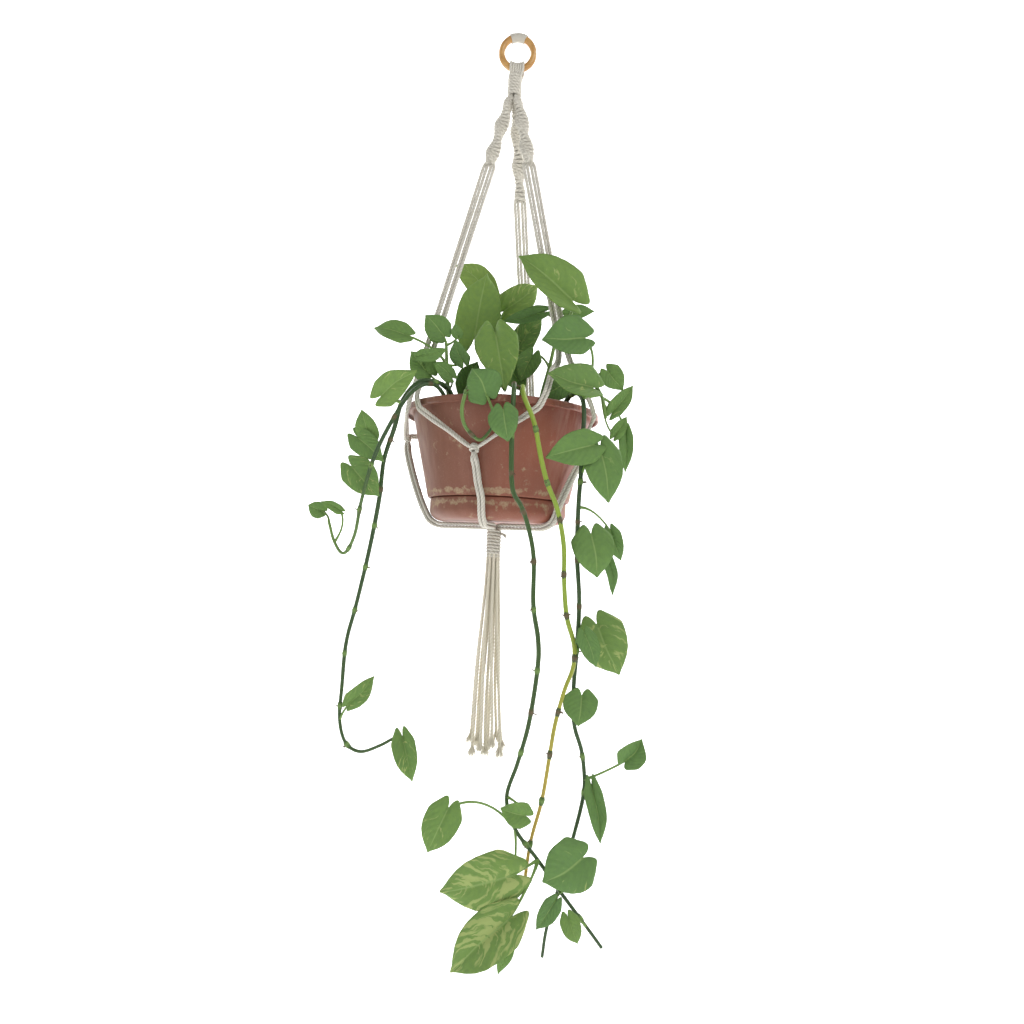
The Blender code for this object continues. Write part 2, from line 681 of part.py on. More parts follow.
# Leaves: the stem's point that the stalk leaves from, the blade's base and tip, its width, and how far
# the blade is turned about its own length (0 faces the front), in millimetres and degrees
LEAVES = {
    "crown_left": [
        (3, (-76, -77, -405), (-95, -84, -382), 34, 10),
        (3, (-55, -76, -403), (-60, -80, -390), 12, 0),
        (2, (-48, -78, -436), (-59, -84, -411), 20, -20),
        (2, (-116, -90, -409), (-157, -84, -399), 28, 15),
        (1, (-98, -97, -434), (-66, -99, -425), 15, 20),
        (2, (-88, -82, -452), (-110, -90, -428), 30, 0),
        (1, (-61, -86, -456), (-82, -94, -440), 18, 10),
    ],
    "crown_centre": [
        (3, (-39, -28, -396), (-27, -14, -306), 48, 0),
        (3, (-24, 8, -329), (-70, 14, -289), 32, 0),
        (3, (-2, -6, -353), (40, 0, -315), 36, 0),
        (2, (-11, -68, -397), (4, -108, -470), 48, 0),
        (3, (18, -20, -404), (46, -20, -363), 28, 0),
        (1, (-20, -96, -450), (-20, -112, -470), 30, 0),
    ],
    "crown_right": [
        (3, (80, -78, -355), (14, -84, -305), 54, 0),
        (3, (76, -32, -362), (112, -32, -355), 17, 0),
        (3, (47, -42, -362), (-4, -50, -378), 18, 0),
    ],
    "crown_far_right": [
        (3, (126, -84, -440), (146, -84, -462), 30, 0),
        (4, (134, -84, -490), (158, -84, -456), 20, 0),
        (4, (138, -86, -518), (152, -84, -494), 15, 0),
        (4, (152, -78, -512), (154, -78, -560), 17, 0),
    ],
    "vine_left_long": [
        (4, (-141, -106, -485), (-99, -130, -458), 34, 10),
        (6, (-156, -82, -535), (-167, -88, -500), 26, 0),
        (6, (-172, -84, -532), (-138, -92, -560), 30, 0),
        (7, (-176, -88, -568), (-141, -94, -602), 39, 0),
        (13, (-170, -62, -858), (-142, -66, -824), 24, 0),
        (17, (-102, -76, -893), (-88, -82, -945), 30, 0),
    ],
    "vine_left_short": [
        (9, (-190, -72, -622), (-214, -74, -612), 11, 0),
        (10, (-214, -60, -624), (-233, -60, -617), 21, 0),
    ],
    "vine_centre": [
        (4, (4, -146, -500), (11, -152, -535), 33, 0),
        (14, (50, -146, -956), (21, -150, -948), 34, 0),
        (14, (17, -148, -974), (-58, -154, -999), 32, 0),
        (16, (38, -148, -1024), (-43, -154, -1044), 54, 0),
        (16, (37, -156, -1066), (-27, -160, -1130), 54, 0),
        (15, (36, -142, -1088), (26, -144, -1138), 19, 0),
        (17, (113, -146, -998), (72, -152, -1026), 53, 0),
        (17, (86, -148, -1050), (67, -150, -1082), 22, 0),
        (18, (102, -144, -1068), (114, -146, -1098), 22, 0),
    ],
    "vine_yellow": [(11, (108, -136, -750), (122, -140, -786), 22, 0)],
    "vine_right": [
        (3, (96, -100, -405), (46, -106, -409), 42, 0),
        (3, (107, -110, -465), (54, -124, -452), 40, 10),
        (5, (110, -122, -533), (56, -136, -550), 36, 0),
        (6, (118, -118, -536), (130, -128, -598), 43, 0),
        (8, (112, -116, -636), (121, -124, -685), 48, 0),
        (7, (136, -104, -632), (150, -104, -666), 19, 0),
        (8, (133, -98, -662), (143, -98, -708), 14, 0),
        (10, (124, -110, -742), (152, -118, -798), 56, 0),
        (12, (110, -108, -826), (107, -116, -860), 40, 0),
        (14, (166, -98, -904), (185, -98, -878), 43, 0),
        (14, (127, -104, -934), (140, -108, -1000), 25, 0),
    ],
    "front_loop": [],
}
FRONT_DROP = 0.0625
STALK_R = 0.0011
STALK_SWEEP = 0.016
STEM_TOLERANCE = 0.0005
LEAF_THICK = 0.0006
BLADE = [(0.0, 0.24), (0.14, 0.88), (0.42, 1.0), (0.78, 0.50), (1.0, 0.06)]


def mm(point):
    """A place in the plant, lowered by how far forward it lies: the whole plant leans out over the rim."""
    x, y, z = point
    return Vector((x, y, z + FRONT_DROP * y)) / 1000


def stem_mesh(bm, points, radius, sides=5):
    """A tube with closed ends along a stem, a little thinner at the tip."""
    rings = []
    up = Vector((0.3, 1, 0.1)).normalized()
    for k, (point, along) in enumerate(zip(points, tangents(points))):
        up = (up - along * up.dot(along)).normalized()
        side = along.cross(up)
        r = radius * (1 - 0.3 * k / len(points))
        turns = [2 * pi * i / sides for i in range(sides)]
        rings.append([bm.verts.new(point + r * (up * cos(a) + side * sin(a))) for a in turns])
    join_rings(bm, rings)


def nearest_on(points, place):
    """The point of a run of straight stretches that lies nearest to a place."""
    found = []
    for a, b in zip(points, points[1:]):
        part = min(max((place - a).dot(b - a) / (b - a).length_squared, 0.05), 0.95)
        found.append(a.lerp(b, part))
    return min(found, key=lambda point: (point - place).length)


def leaf_mesh(bm, start, base, tip, width, turn):
    """A leaf as one closed body: a thin stalk that widens into a flat pointed blade."""
    along = (tip - base).normalized()
    side = Vector((0, -1, 0)).cross(along)
    side.normalize()
    side = Matrix.Rotation(radians(turn), 3, along) @ side
    face = along.cross(side).normalized()
    if face.y > 0:
        face = -face
    low = base - along * 0.0020 - face * 0.0004
    bend = start.lerp(base, 0.6) - (along + face) * min(0.35 * (base - start).length, STALK_SWEEP)
    stalk = [start.lerp(bend, t).lerp(bend.lerp(low, t), t) for t in (0, 0.35, 0.7, 1)]
    rings = []
    across = side
    for point, way in reversed(list(zip(stalk, tangents(stalk)))):
        across = (across - way * across.dot(way)).normalized()
        out = way.cross(across).normalized()
        rings.insert(0, [bm.verts.new(point + STALK_R * d) for d in (across, out, -across, -out)])
    out = along.cross(side)
    flip = -1 if out.dot(face) < 0 else 1
    length = (tip - base).length
    for s, w in BLADE:
        centre = base + along * length * s + face * 0.10 * length * (4 * s * (1 - s)) * 0.5
        half = side * max(w * width / 2, STALK_R)
        up = face * LEAF_THICK * flip
        rings.append([bm.verts.new(p) for p in (centre + half, centre + up, centre - half, centre - up)])
    join_rings(bm, rings)


def add_stem(name):
    """One shoot or vine: its stem, with its leaves joined to it."""
    radius, route = STEMS[name]
    points = thinned(smooth_points([mm(p) for p in route], 6 * len(route)), STEM_TOLERANCE)
    bm = bmesh.new()
    stem_mesh(bm, points, radius / 1000)
    stem = mesh_object(name, bm, LEAF_GREEN)
    for index, (node, base, tip, width, turn) in enumerate(LEAVES[name]):
        start = nearest_on(points, mm(route[node]))
        bm = bmesh.new()
        leaf_mesh(bm, start, mm(base), mm(tip), width / 1000, turn)
        leaf = mesh_object(f"{name}_leaf_{index + 1}", bm, LEAF_GREEN)
        join_helper(stem, leaf, f"leaf_{index + 1}")
    return stem


def main():
    clear_scene()
    add_wooden_ring()
    add_ring_top_wrap()
    add_ring_loops()
    add_neck_wrap()
    for arm in ARM_ANGLES:
        add_sinnet(arm)
    add_arm_cords()
    for knot in KNOTS:
        add_knot(knot)
        add_sling_cords(knot)
    add_bottom_wrap()
    add_tassel()
    add_pot()
    add_drip_tray()
    add_soil()
    for name in STEMS:
        add_stem(name)


main()
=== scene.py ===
"""Looks of the hanging macrame planter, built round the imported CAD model.

Everything is in metres in the row frame: the origin is where a hook bears under the ring's top, +X is the
planter's right and -Y its front. Routes of cords and stems repeat those of the CAD model."""

import json
from math import atan2, cos, degrees, pi, radians, sin, sqrt

import bmesh
import bpy
import numpy as np
from mathutils import Matrix, Vector, noise

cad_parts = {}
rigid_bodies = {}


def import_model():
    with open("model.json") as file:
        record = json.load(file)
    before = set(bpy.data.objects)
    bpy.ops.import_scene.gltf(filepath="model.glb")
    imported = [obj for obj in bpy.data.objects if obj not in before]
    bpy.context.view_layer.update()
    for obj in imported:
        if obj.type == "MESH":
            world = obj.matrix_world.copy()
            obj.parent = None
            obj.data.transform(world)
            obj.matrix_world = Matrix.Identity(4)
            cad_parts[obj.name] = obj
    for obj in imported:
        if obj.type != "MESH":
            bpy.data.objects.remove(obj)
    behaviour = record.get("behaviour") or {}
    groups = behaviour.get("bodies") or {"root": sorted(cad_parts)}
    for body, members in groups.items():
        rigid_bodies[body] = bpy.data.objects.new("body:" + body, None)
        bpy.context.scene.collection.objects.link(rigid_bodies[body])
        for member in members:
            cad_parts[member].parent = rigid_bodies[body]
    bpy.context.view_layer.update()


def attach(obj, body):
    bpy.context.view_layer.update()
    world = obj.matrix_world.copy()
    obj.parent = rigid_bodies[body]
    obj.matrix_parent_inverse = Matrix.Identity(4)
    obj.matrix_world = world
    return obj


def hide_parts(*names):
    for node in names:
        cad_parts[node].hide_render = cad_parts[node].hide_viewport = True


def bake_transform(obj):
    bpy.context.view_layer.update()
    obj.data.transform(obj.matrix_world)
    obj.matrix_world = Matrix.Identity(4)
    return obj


for old in list(bpy.data.objects):
    bpy.data.objects.remove(old, do_unlink=True)
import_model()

# Cords. ROPE_LAY is how far a strand runs for one turn, in diameters, and ROPE_FULLNESS is how much thicker
# a loose cord is than the CAD's
CORD_D = 0.0040
CORD_PITCH = 0.00435
FIT_GAP = 0.0003
ROPE_STEP = 0.0010
SMALL_ROPE_STEP = 0.0006
ROPE_LAY = 3.3
ROPE_STRANDS = 3
STRAND_SIDES = 5
ROPE_SWELL = 0.025
ROPE_FULLNESS = 1.06

# Wooden ring, its wrap and the folded cords
RING_MAJOR = 0.02075
RING_TUBE = 0.00425
RING_WRAP = 0.0015
RING_Z = RING_TUBE + RING_WRAP - RING_MAJOR
RING_WRAP_HALF_ANGLE = 28
RING_WRAP_TURNS = 12
RING_BAR_Z = RING_Z - RING_MAJOR
LOOPS_CORD = 0.0034
LOOPS_GAP = 0.0006
LOOPS_COUNT = 6
LOOPS_PITCH = 0.93 * LOOPS_CORD
LOOPS_GATHER = 0.80
LOOPS_FOOT = (0.0052, 0.006)
LOOPS_ARC = (-25, 205)

# Neck wrap
NECK_X = -0.002
NECK_TOP = RING_BAR_Z - RING_TUBE - LOOPS_GAP - LOOPS_CORD - FIT_GAP
NECK_BOTTOM = -0.0735
NECK_R = 0.0093
NECK_TURNS = 8
NECK_RISE = 0.0022

# Three arms: sinnets of half knots down to SINNET_END_Z, then four cords that part in pairs at SPLIT_Z
ARM_ANGLES = {"left": 216, "right": 310.5, "back": 72}
SINNET_END_Z = {"left": -0.172, "right": -0.171, "back": -0.190}
SINNET_TWISTS = {"left": 2.5, "right": 2.5, "back": 3}
SINNET_R = (0.0083, 0.0056)
SINNET_TOP_R = 0.0036
SINNET_TOP_OFFSET = 0.0055
SINNET_END_R = (0.0072, 0.0058)
SINNET_SAG = 0.0009
HALF_KNOT = 0.0048
SPLIT_Z = {"left": -0.445, "right": -0.420, "back": -0.440}

# Pot and tray
RIM_R = 0.125
RIM_TOP = -0.4865
RIM_LOW = -0.4955
LIP_CLEAR = 0.0025
WALL_TOP_R = 0.114
WALL_TOP = -0.4985
WALL_LOW_R = 0.092
WALL_LOW = -0.6015
WALL = 0.0022
FOOT_R = 0.0845
FOOT_Z = -0.609
DRAIN_R = 0.006
TRAY_R = 0.0885
TRAY_BOTTOM = -0.6305
TRAY_FLAT_R = 0.072
TRAY_WALL = 0.0022
TRAY_CORNER_SQUASH = 0.85
SOIL_TOP = -0.5075

# Sling: each knot's angle, radius and height. BURIED is how far out of a knot a cord's hidden end starts, as
# part of the way to where it comes out
KNOTS = {"front": (255, 0.1112, -0.549), "right": (333, 0.1120, -0.546), "left": (176, 0.1235, -0.523)}
KNOT_HALF = (0.0062, 0.0050, 0.0072)
CORD_STANDOFF = CORD_D / 2 + 2 * FIT_GAP
RIM_GAP = 0.0027
HUB = (-0.003, -0.025)
STACK_ANGLE = 75
BURIED = 0.35

# Bottom wrap and tassel
HUB_TOP = TRAY_BOTTOM - FIT_GAP
WRAP_CORES = 8
WRAP_R = 0.0097
WRAP_TOP = -0.6385
WRAP_LOW = -0.6765
WRAP_TURNS = 9.5
WRAP_BALL_Z = -0.669
WRAP_TAIL = [
    (-0.0045, 0.001, 0.0010),
    (0, -0.0010, 0.0012),
    (0.0030, -0.0020, 0.0002),
    (0.0052, -0.0026, -0.0016),
]
FRAY_ROOT = 0.003
FRAY_R = 0.00042
TASSEL_END = -0.912
TASSEL_PIVOT_R = WRAP_R + FIT_GAP
TASSEL_SPREAD = 3.0
TASSEL_HIDDEN = 0.008
TASSEL_WAVE = 0.0022

# Plant. FRONT_DROP is how far the plant's places are lowered for each unit that they lie forward, and
# BROWN_NODES the share of the stems' joints that are brown
FRONT_DROP = 0.0625
BLADE_THICK = 0.00045
VEINS = 8.0
VEIN_SLOPE = 2.6
VEIN_LIFT = 0.00022
RIB_DEPTH = 0.0009
STALK_R = 0.00145
STEM_FULLNESS = 1.18
STEM_STEP = 0.0025
NODE_EVERY = 0.057
BROWN_NODES = 0.4
STUB_RADII = (0.0009, 0.0007, 0.0003)
SOIL_LUMPS = 170

# Camera, floor and light
CAMERA_PLACE = (0.0215, -1.047, -0.680)
CAMERA_SHIFT = 0.0488
CAMERA_LENS = 28.125
CAMERA_ROLL = 2.5
CAMERA_SENSOR = 36
FLOOR_Z = -1.55
FLOOR_HALF_WIDTH = 6.0
FLOOR_BEND_R = 1.0
FLOOR_BEND_Y = 2.4
FLOOR_GLOW = 0.62
WORLD_STRENGTH = 0.34


# ---- points and routes ----


def polar(angle, r, z):
    return Vector((r * cos(radians(angle)), r * sin(radians(angle)), z))


def mm(point):
    """A place in the plant, lowered by how far forward it lies: the whole plant leans out over the rim."""
    x, y, z = point
    return Vector((x, y, z + FRONT_DROP * y)) / 1000


def flat(point):
    return Vector((point.x, point.y, 0))


def held(value):
    """The value, kept from 0 to 1."""
    return min(max(value, 0), 1)


def unit(way):
    return way / np.linalg.norm(way)


def round_angles(count):
    """count angles, evenly spaced round a whole turn."""
    return np.linspace(0, 2 * pi, count, endpoint=False)


def smooth_points(points, count):
    """count points, evenly spaced along a Catmull-Rom curve through the given ones."""
    points = [Vector(p) for p in points]
    ends = [2 * points[0] - points[1], *points, 2 * points[-1] - points[-2]]
    fine = []
    for a, b, c, d in zip(ends, ends[1:], ends[2:], ends[3:]):
        for k in range(16):
            t = k / 16
            cubic = 3 * b - a - 3 * c + d
            square = 2 * a - 5 * b + 4 * c - d
            fine.append(0.5 * (2 * b + (c - a) * t + square * t**2 + cubic * t**3))
    fine.append(points[-1])
    return [Vector(p) for p in evenly(fine, count)]


def run_lengths(points):
    gaps = np.linalg.norm(np.diff(points, axis=0), axis=1)
    return np.concatenate([[0.0], np.cumsum(gaps)])


def evenly(points, count):
    """count points, evenly spaced along the straight runs between the given ones, as an array."""
    points = np.array(points, float)
    lengths = run_lengths(points)
    goals = np.linspace(0, lengths[-1], count)
    return np.stack([np.interp(goals, lengths, points[:, k]) for k in range(3)], axis=1)


def stepped(points, step):
    points = np.array(points, float)
    return evenly(points, max(int(round(run_lengths(points)[-1] / step)), 3) + 1)


def relaxed(points, passes):
    """The points with their corners eased, the ends held."""
    points = np.array(points, float)
    for _ in range(passes):
        points[1:-1] = (points[:-2] + 2 * points[1:-1] + points[2:]) / 4
    return points


def tangents(points):
    found = []
    for i in range(len(points)):
        before = points[max(i - 1, 0)]
        after = points[min(i + 1, len(points) - 1)]
        found.append((after - before).normalized())
    return found


def carried_frames(points):
    """Two directions square to the run at each point, carried along it without twisting."""
    along = np.gradient(points, axis=0)
    along /= np.linalg.norm(along, axis=1)[:, None]
    first = unit(np.cross(along[0], (0.31, 0.9, 0.17)))
    firsts = np.empty_like(points)
    for k, way in enumerate(along):
        first = unit(first - way * first.dot(way))
        firsts[k] = first
    return firsts, np.cross(along, firsts)


# ---- meshes ----


def unit_noise(points, scale, seed=0):
    """Smooth noise from -1 to 1 at each point of an array."""
    shift = Vector((seed * 7.31, seed * 3.17, seed * 5.03))
    return np.array([noise.noise(Vector(p) * scale + shift) for p in points])


def linked(name, data):
    obj = bpy.data.objects.new(name, data)
    bpy.context.scene.collection.objects.link(obj)
    return obj


def link_mesh(name, verts, faces, *looks):
    mesh = bpy.data.meshes.new(name)
    mesh.from_pydata([tuple(v) for v in verts], [], [tuple(f) for f in faces])
    mesh.update()
    mesh.shade_smooth()
    for look in looks:
        mesh.materials.append(look)
    return linked(name, mesh)


def add_values(obj, name, values):
    """Stores four numbers at each vertex, for the materials to read."""
    layer = obj.data.color_attributes.new(name, "FLOAT_COLOR", "POINT")
    layer.data.foreach_set("color", np.asarray(values, np.float32).ravel())


def add_fibre(obj, around, lengths, crest):
    """Stores where each vertex of a tube lies: round it, along it, and how far up a strand."""
    values = np.empty((len(lengths), len(around), 4))
    values[..., 0] = np.cos(around)
    values[..., 1] = np.sin(around)
    values[..., 2] = lengths[:, None]
    values[..., 3] = crest
    add_values(obj, "fibre", values)


def skin(rings, sides, first=0, loop=False):
    """Faces over rings of vertices that follow each other from number first."""
    faces = []
    for k in range(rings if loop else rings - 1):
        low = first + k * sides
        high = first + ((k + 1) % rings) * sides
        for i in range(sides):
            j = (i + 1) % sides
            faces.append((low + i, low + j, high + j, high + i))
    if not loop:
        last = first + (rings - 1) * sides
        faces.append(tuple(reversed(range(first, first + sides))))
        faces.append(tuple(range(last, last + sides)))
    return faces


def tube_verts(points, radii, sides, turn=0.0, relief=1.0):
    """Vertices of a tube: its radius at each point, a twist in radians, and a factor for each side."""
    firsts, seconds = carried_frames(points)
    angles = round_angles(sides)[None, :] + np.broadcast_to(turn, len(points))[:, None]
    radius = np.broadcast_to(radii, len(points))[:, None] * np.broadcast_to(relief, sides)[None, :]
    offset = firsts[:, None, :] * np.cos(angles)[..., None] + seconds[:, None, :] * np.sin(angles)[..., None]
    return (points[:, None, :] + offset * radius[..., None]).reshape(-1, 3)


def rope(name, route, look, diameter=CORD_D, step=ROPE_STEP, ease=6, groove=0.17, hand=1):
    """A laid cotton cord along a route: strands wound round each other, with a groove between them."""
    points = relaxed(stepped(route, step), ease)
    around = round_angles(ROPE_STRANDS * STRAND_SIDES)
    lengths = run_lengths(points)
    crest = np.abs(np.cos(ROPE_STRANDS * around / 2)) ** 0.8
    turn = hand * 2 * pi * lengths / (ROPE_LAY * diameter)
    swell = 1 + ROPE_SWELL * np.sin(lengths * 311 + len(name))
    verts = tube_verts(points, diameter / 2 * swell, len(around), turn, 1 - groove * (1 - crest))
    obj = link_mesh(name, verts, skin(len(points), len(around)), look)
    add_fibre(obj, around, lengths, crest)
    return obj, points


def joined(name, objects):
    """One object made of several, the first one's materials kept."""
    with bpy.context.temp_override(
        active_object=objects[0], selected_editable_objects=objects, selected_objects=objects
    ):
        bpy.ops.object.join()
    objects[0].name = name
    objects[0].data.name = name
    return objects[0]


def turned(name, profile, look, steps=160):
    """A solid of revolution about Z, from a closed profile that keeps off the axis."""
    verts = [(r * cos(a), r * sin(a), z) for r, z in profile for a in round_angles(steps)]
    return link_mesh(name, verts, skin(len(profile), steps, loop=True), look)


def rounded(profile, radius, steps=4):
    """A closed profile with each corner replaced by a short curve, at most radius long on each side."""
    found = []
    count = len(profile)
    for k in range(count):
        before, here, after = (Vector(profile[(k + d) % count]) for d in (-1, 0, 1))
        reach_in = min(radius, 0.45 * (here - before).length)
        reach_out = min(radius, 0.45 * (after - here).length)
        start = here + (before - here).normalized() * reach_in
        end = here + (after - here).normalized() * reach_out
        for i in range(steps + 1):
            t = i / steps
            found.append(tuple(start.lerp(here, t).lerp(here.lerp(end, t), t)))
    return found


# ---- materials ----


class Looks:
    """Builds a material's nodes: short names for the nodes that the looks below share."""

    def __init__(self, name, roughness, sheen=0.0, coat=0.0, specular=0.5):
        self.material = bpy.data.materials.new(name)
        self.material.use_nodes = True
        self.tree = self.material.node_tree
        self.shader = self.tree.nodes["Principled BSDF"]
        self.shader.inputs["Roughness"].default_value = roughness
        self.shader.inputs["Sheen Weight"].default_value = sheen
        self.shader.inputs["Sheen Roughness"].default_value = 0.5
        self.shader.inputs["Coat Weight"].default_value = coat
        self.shader.inputs["Coat Roughness"].default_value = 0.25
        self.shader.inputs["Specular IOR Level"].default_value = specular

    def node(self, kind, **settings):
        made = self.tree.nodes.new(kind)
        for key, value in settings.items():
            setattr(made, key, value)
        return made

    def link(self, source, target):
        if isinstance(source, (int, float)):
            target.default_value = source
        elif isinstance(source, tuple):
            target.default_value = (*source, 1) if len(target.default_value) == 4 else source
        else:
            self.tree.links.new(source, target)

    def values(self, name):
        """The four numbers stored at each vertex under a name."""
        attribute = self.node("ShaderNodeAttribute", attribute_name=name)
        split = self.node("ShaderNodeSeparateColor")
        self.link(attribute.outputs["Color"], split.inputs["Color"])
        return [*split.outputs, attribute.outputs["Alpha"]]

    def place(self):
        """Position in the object's own coordinates, in metres, as x, y and z, and as a vector."""
        whole = self.node("ShaderNodeTexCoord").outputs["Object"]
        split = self.node("ShaderNodeSeparateXYZ")
        self.link(whole, split.inputs["Vector"])
        return [*split.outputs, whole]

    def math(self, operation, a, b=0.0):
        made = self.node("ShaderNodeMath", operation=operation)
        self.link(a, made.inputs[0])
        self.link(b, made.inputs[1])
        return made.outputs[0]

    def times(self, a, b):
        return self.math("MULTIPLY", a, b)

    def less(self, a, b):
        return self.math("SUBTRACT", a, b)

    def scaled(self, parts, factors):
        """A vector of three values, each times its own factor."""
        made = self.node("ShaderNodeCombineXYZ")
        for part, factor, target in zip(parts, factors, made.inputs):
            self.link(self.times(part, factor), target)
        return made.outputs[0]

    def noise(self, vector, scale, detail=3.0, rough=0.55):
        made = self.node("ShaderNodeTexNoise")
        self.link(vector, made.inputs["Vector"])
        made.inputs["Scale"].default_value = scale
        made.inputs["Detail"].default_value = detail
        made.inputs["Roughness"].default_value = rough
        return made.outputs[0]

    def band(self, value, low, high, start=0.0, end=1.0):
        """The value spread from low..high to start..end, held at both."""
        made = self.node("ShaderNodeMapRange")
        self.link(value, made.inputs["Value"])
        for name, number in zip(("From Min", "From Max", "To Min", "To Max"), (low, high, start, end)):
            self.link(number, made.inputs[name])
        return made.outputs[0]

    def mix(self, share, a, b, blend="MIX"):
        made = self.node("ShaderNodeMix", data_type="RGBA", blend_type=blend)
        self.link(share, made.inputs[0])
        self.link(a, made.inputs[6])
        self.link(b, made.inputs[7])
        return made.outputs[2]

    def tinted(self, colour, value, low, high, share, tint):
        """The colour with a tint over it, up to a share, as the value goes from low to high."""
        return self.mix(self.band(value, low, high, 0.0, share), colour, tint)

    def bump(self, height, strength, distance, before=None):
        made = self.node("ShaderNodeBump")
        made.inputs["Strength"].default_value = strength
        made.inputs["Distance"].default_value = distance
        self.link(height, made.inputs["Height"])
        if before is not None:
            self.link(before, made.inputs["Normal"])
        return made.outputs[0]

    def done(self, colour, roughness=None, normal=None):
        self.link(colour, self.shader.inputs["Base Color"])
        if roughness is not None:
            self.link(roughness, self.shader.inputs["Roughness"])
        if normal is not None:
            self.link(normal, self.shader.inputs["Normal"])
        return self.material


def cotton_look(name, crest_colour, groove_shade_colour, grey_colour):
    """Laid cotton: fine fibres along each strand, painted shade in the grooves between the strands, and faint
    soiling.
    """
    look = Looks(name, 0.92, sheen=0.25, specular=0.15)
    *spot, crest = look.values("fibre")
    whole = look.place()[3]
    fibres = look.noise(look.scaled(spot, (9.0, 9.0, 420.0)), 1.0, 4.0, 0.7)
    soil = look.noise(whole, 60.0)
    # The second colour is painted shade, which darkens the cord towards the grooves between its strands.
    colour = look.mix(look.band(crest, 0.0, 0.85), groove_shade_colour, crest_colour)
    colour = look.tinted(colour, fibres, 0.35, 0.7, 0.35, grey_colour)
    colour = look.tinted(colour, soil, 0.5, 0.75, 0.30, grey_colour)
    fuzz = look.bump(fibres, 0.55, 0.0006)
    return look.done(colour, normal=look.bump(look.noise(whole, 2600.0, 2.0), 0.25, 0.0004, fuzz))


def wood_look():
    """Turned and lightly varnished wood, its grain running across the ring."""
    look = Looks("ring_wood", 0.38, coat=0.25)
    *spot, whole = look.place()
    grain = look.noise(look.scaled(spot, (60.0, 900.0, 700.0)), 1.0, 5.0, 0.65)
    broad = look.noise(whole, 45.0, 2.0)
    colour = look.mix(look.band(grain, 0.35, 0.68), (0.50, 0.265, 0.075), (0.335, 0.155, 0.036))
    colour = look.tinted(colour, broad, 0.4, 0.65, 0.6, (0.60, 0.36, 0.12))
    return look.done(colour, look.band(grain, 0.3, 0.7, 0.30, 0.46), look.bump(grain, 0.12, 0.0003))


def plastic_look(name, stained):
    """Terracotta plastic: streaks down the wall, redder towards the right, a painted grey sheen along the
    left edge, a painted pink highlight along the right edge, and lime between the foot of the wall and the
    height given as stained."""
    look = Looks(name, 0.5, specular=0.35)
    x, y, z, whole = look.place()
    streaks = look.noise(look.scaled((x, y, z), (95.0, 95.0, 5.0)), 1.0, 4.0, 0.6)
    fine = look.noise(whole, 650.0)
    # Redder towards the right of the wall, duller towards the left.
    colour = look.mix(look.band(x, -0.09, 0.09), (0.185, 0.080, 0.050), (0.275, 0.082, 0.050))
    colour = look.tinted(colour, streaks, 0.42, 0.66, 0.20, (0.290, 0.140, 0.095))
    colour = look.tinted(colour, look.noise(whole, 9.0), 0.46, 0.70, 0.30, (0.150, 0.055, 0.034))
    colour = look.tinted(colour, fine, 0.55, 0.72, 0.20, (0.360, 0.200, 0.140))
    # A painted grey sheen along the left edge of the wall, broken up by the streaks.
    left_edge_sheen = look.times(look.band(x, -0.075, -0.112), look.band(streaks, 0.40, 0.60))
    colour = look.mix(look.times(left_edge_sheen, 0.34), colour, (0.420, 0.280, 0.210))
    # A painted pink highlight along the right edge of the wall, broken up by the streaks.
    right_edge_highlight = look.times(look.band(x, 0.060, 0.098), look.band(streaks, 0.38, 0.60))
    colour = look.mix(look.times(right_edge_highlight, 0.55), colour, (0.480, 0.270, 0.240))
    patchy = look.noise(whole, 70.0, 6.0, 0.68)
    crusty = look.noise(whole, 420.0, 4.0, 0.7)
    from_middle = look.math("ABSOLUTE", look.less(z, 0.5 * (WALL_LOW + stained)))
    reach = look.band(from_middle, 0.0, 0.5 * abs(stained - WALL_LOW))
    lime = look.band(look.less(patchy, look.times(reach, 0.20)), 0.40, 0.50)
    lime = look.times(lime, look.band(crusty, 0.35, 0.60, 0.35, 1.0))
    colour = look.mix(look.times(lime, 0.85), colour, (0.400, 0.300, 0.190))
    surface = look.bump(streaks, 0.12, 0.0008, look.bump(fine, 0.10, 0.0003))
    return look.done(colour, look.band(lime, 0.0, 1.0, 0.48, 0.85), surface)


def soil_look():
    look = Looks("potting_soil", 0.95, specular=0.2)
    whole = look.place()[3]
    crumbs = look.noise(whole, 260.0, 5.0, 0.7)
    colour = look.mix(look.band(crumbs, 0.35, 0.7), (0.018, 0.011, 0.007), (0.095, 0.060, 0.036))
    return look.done(colour, normal=look.bump(crumbs, 0.8, 0.002))


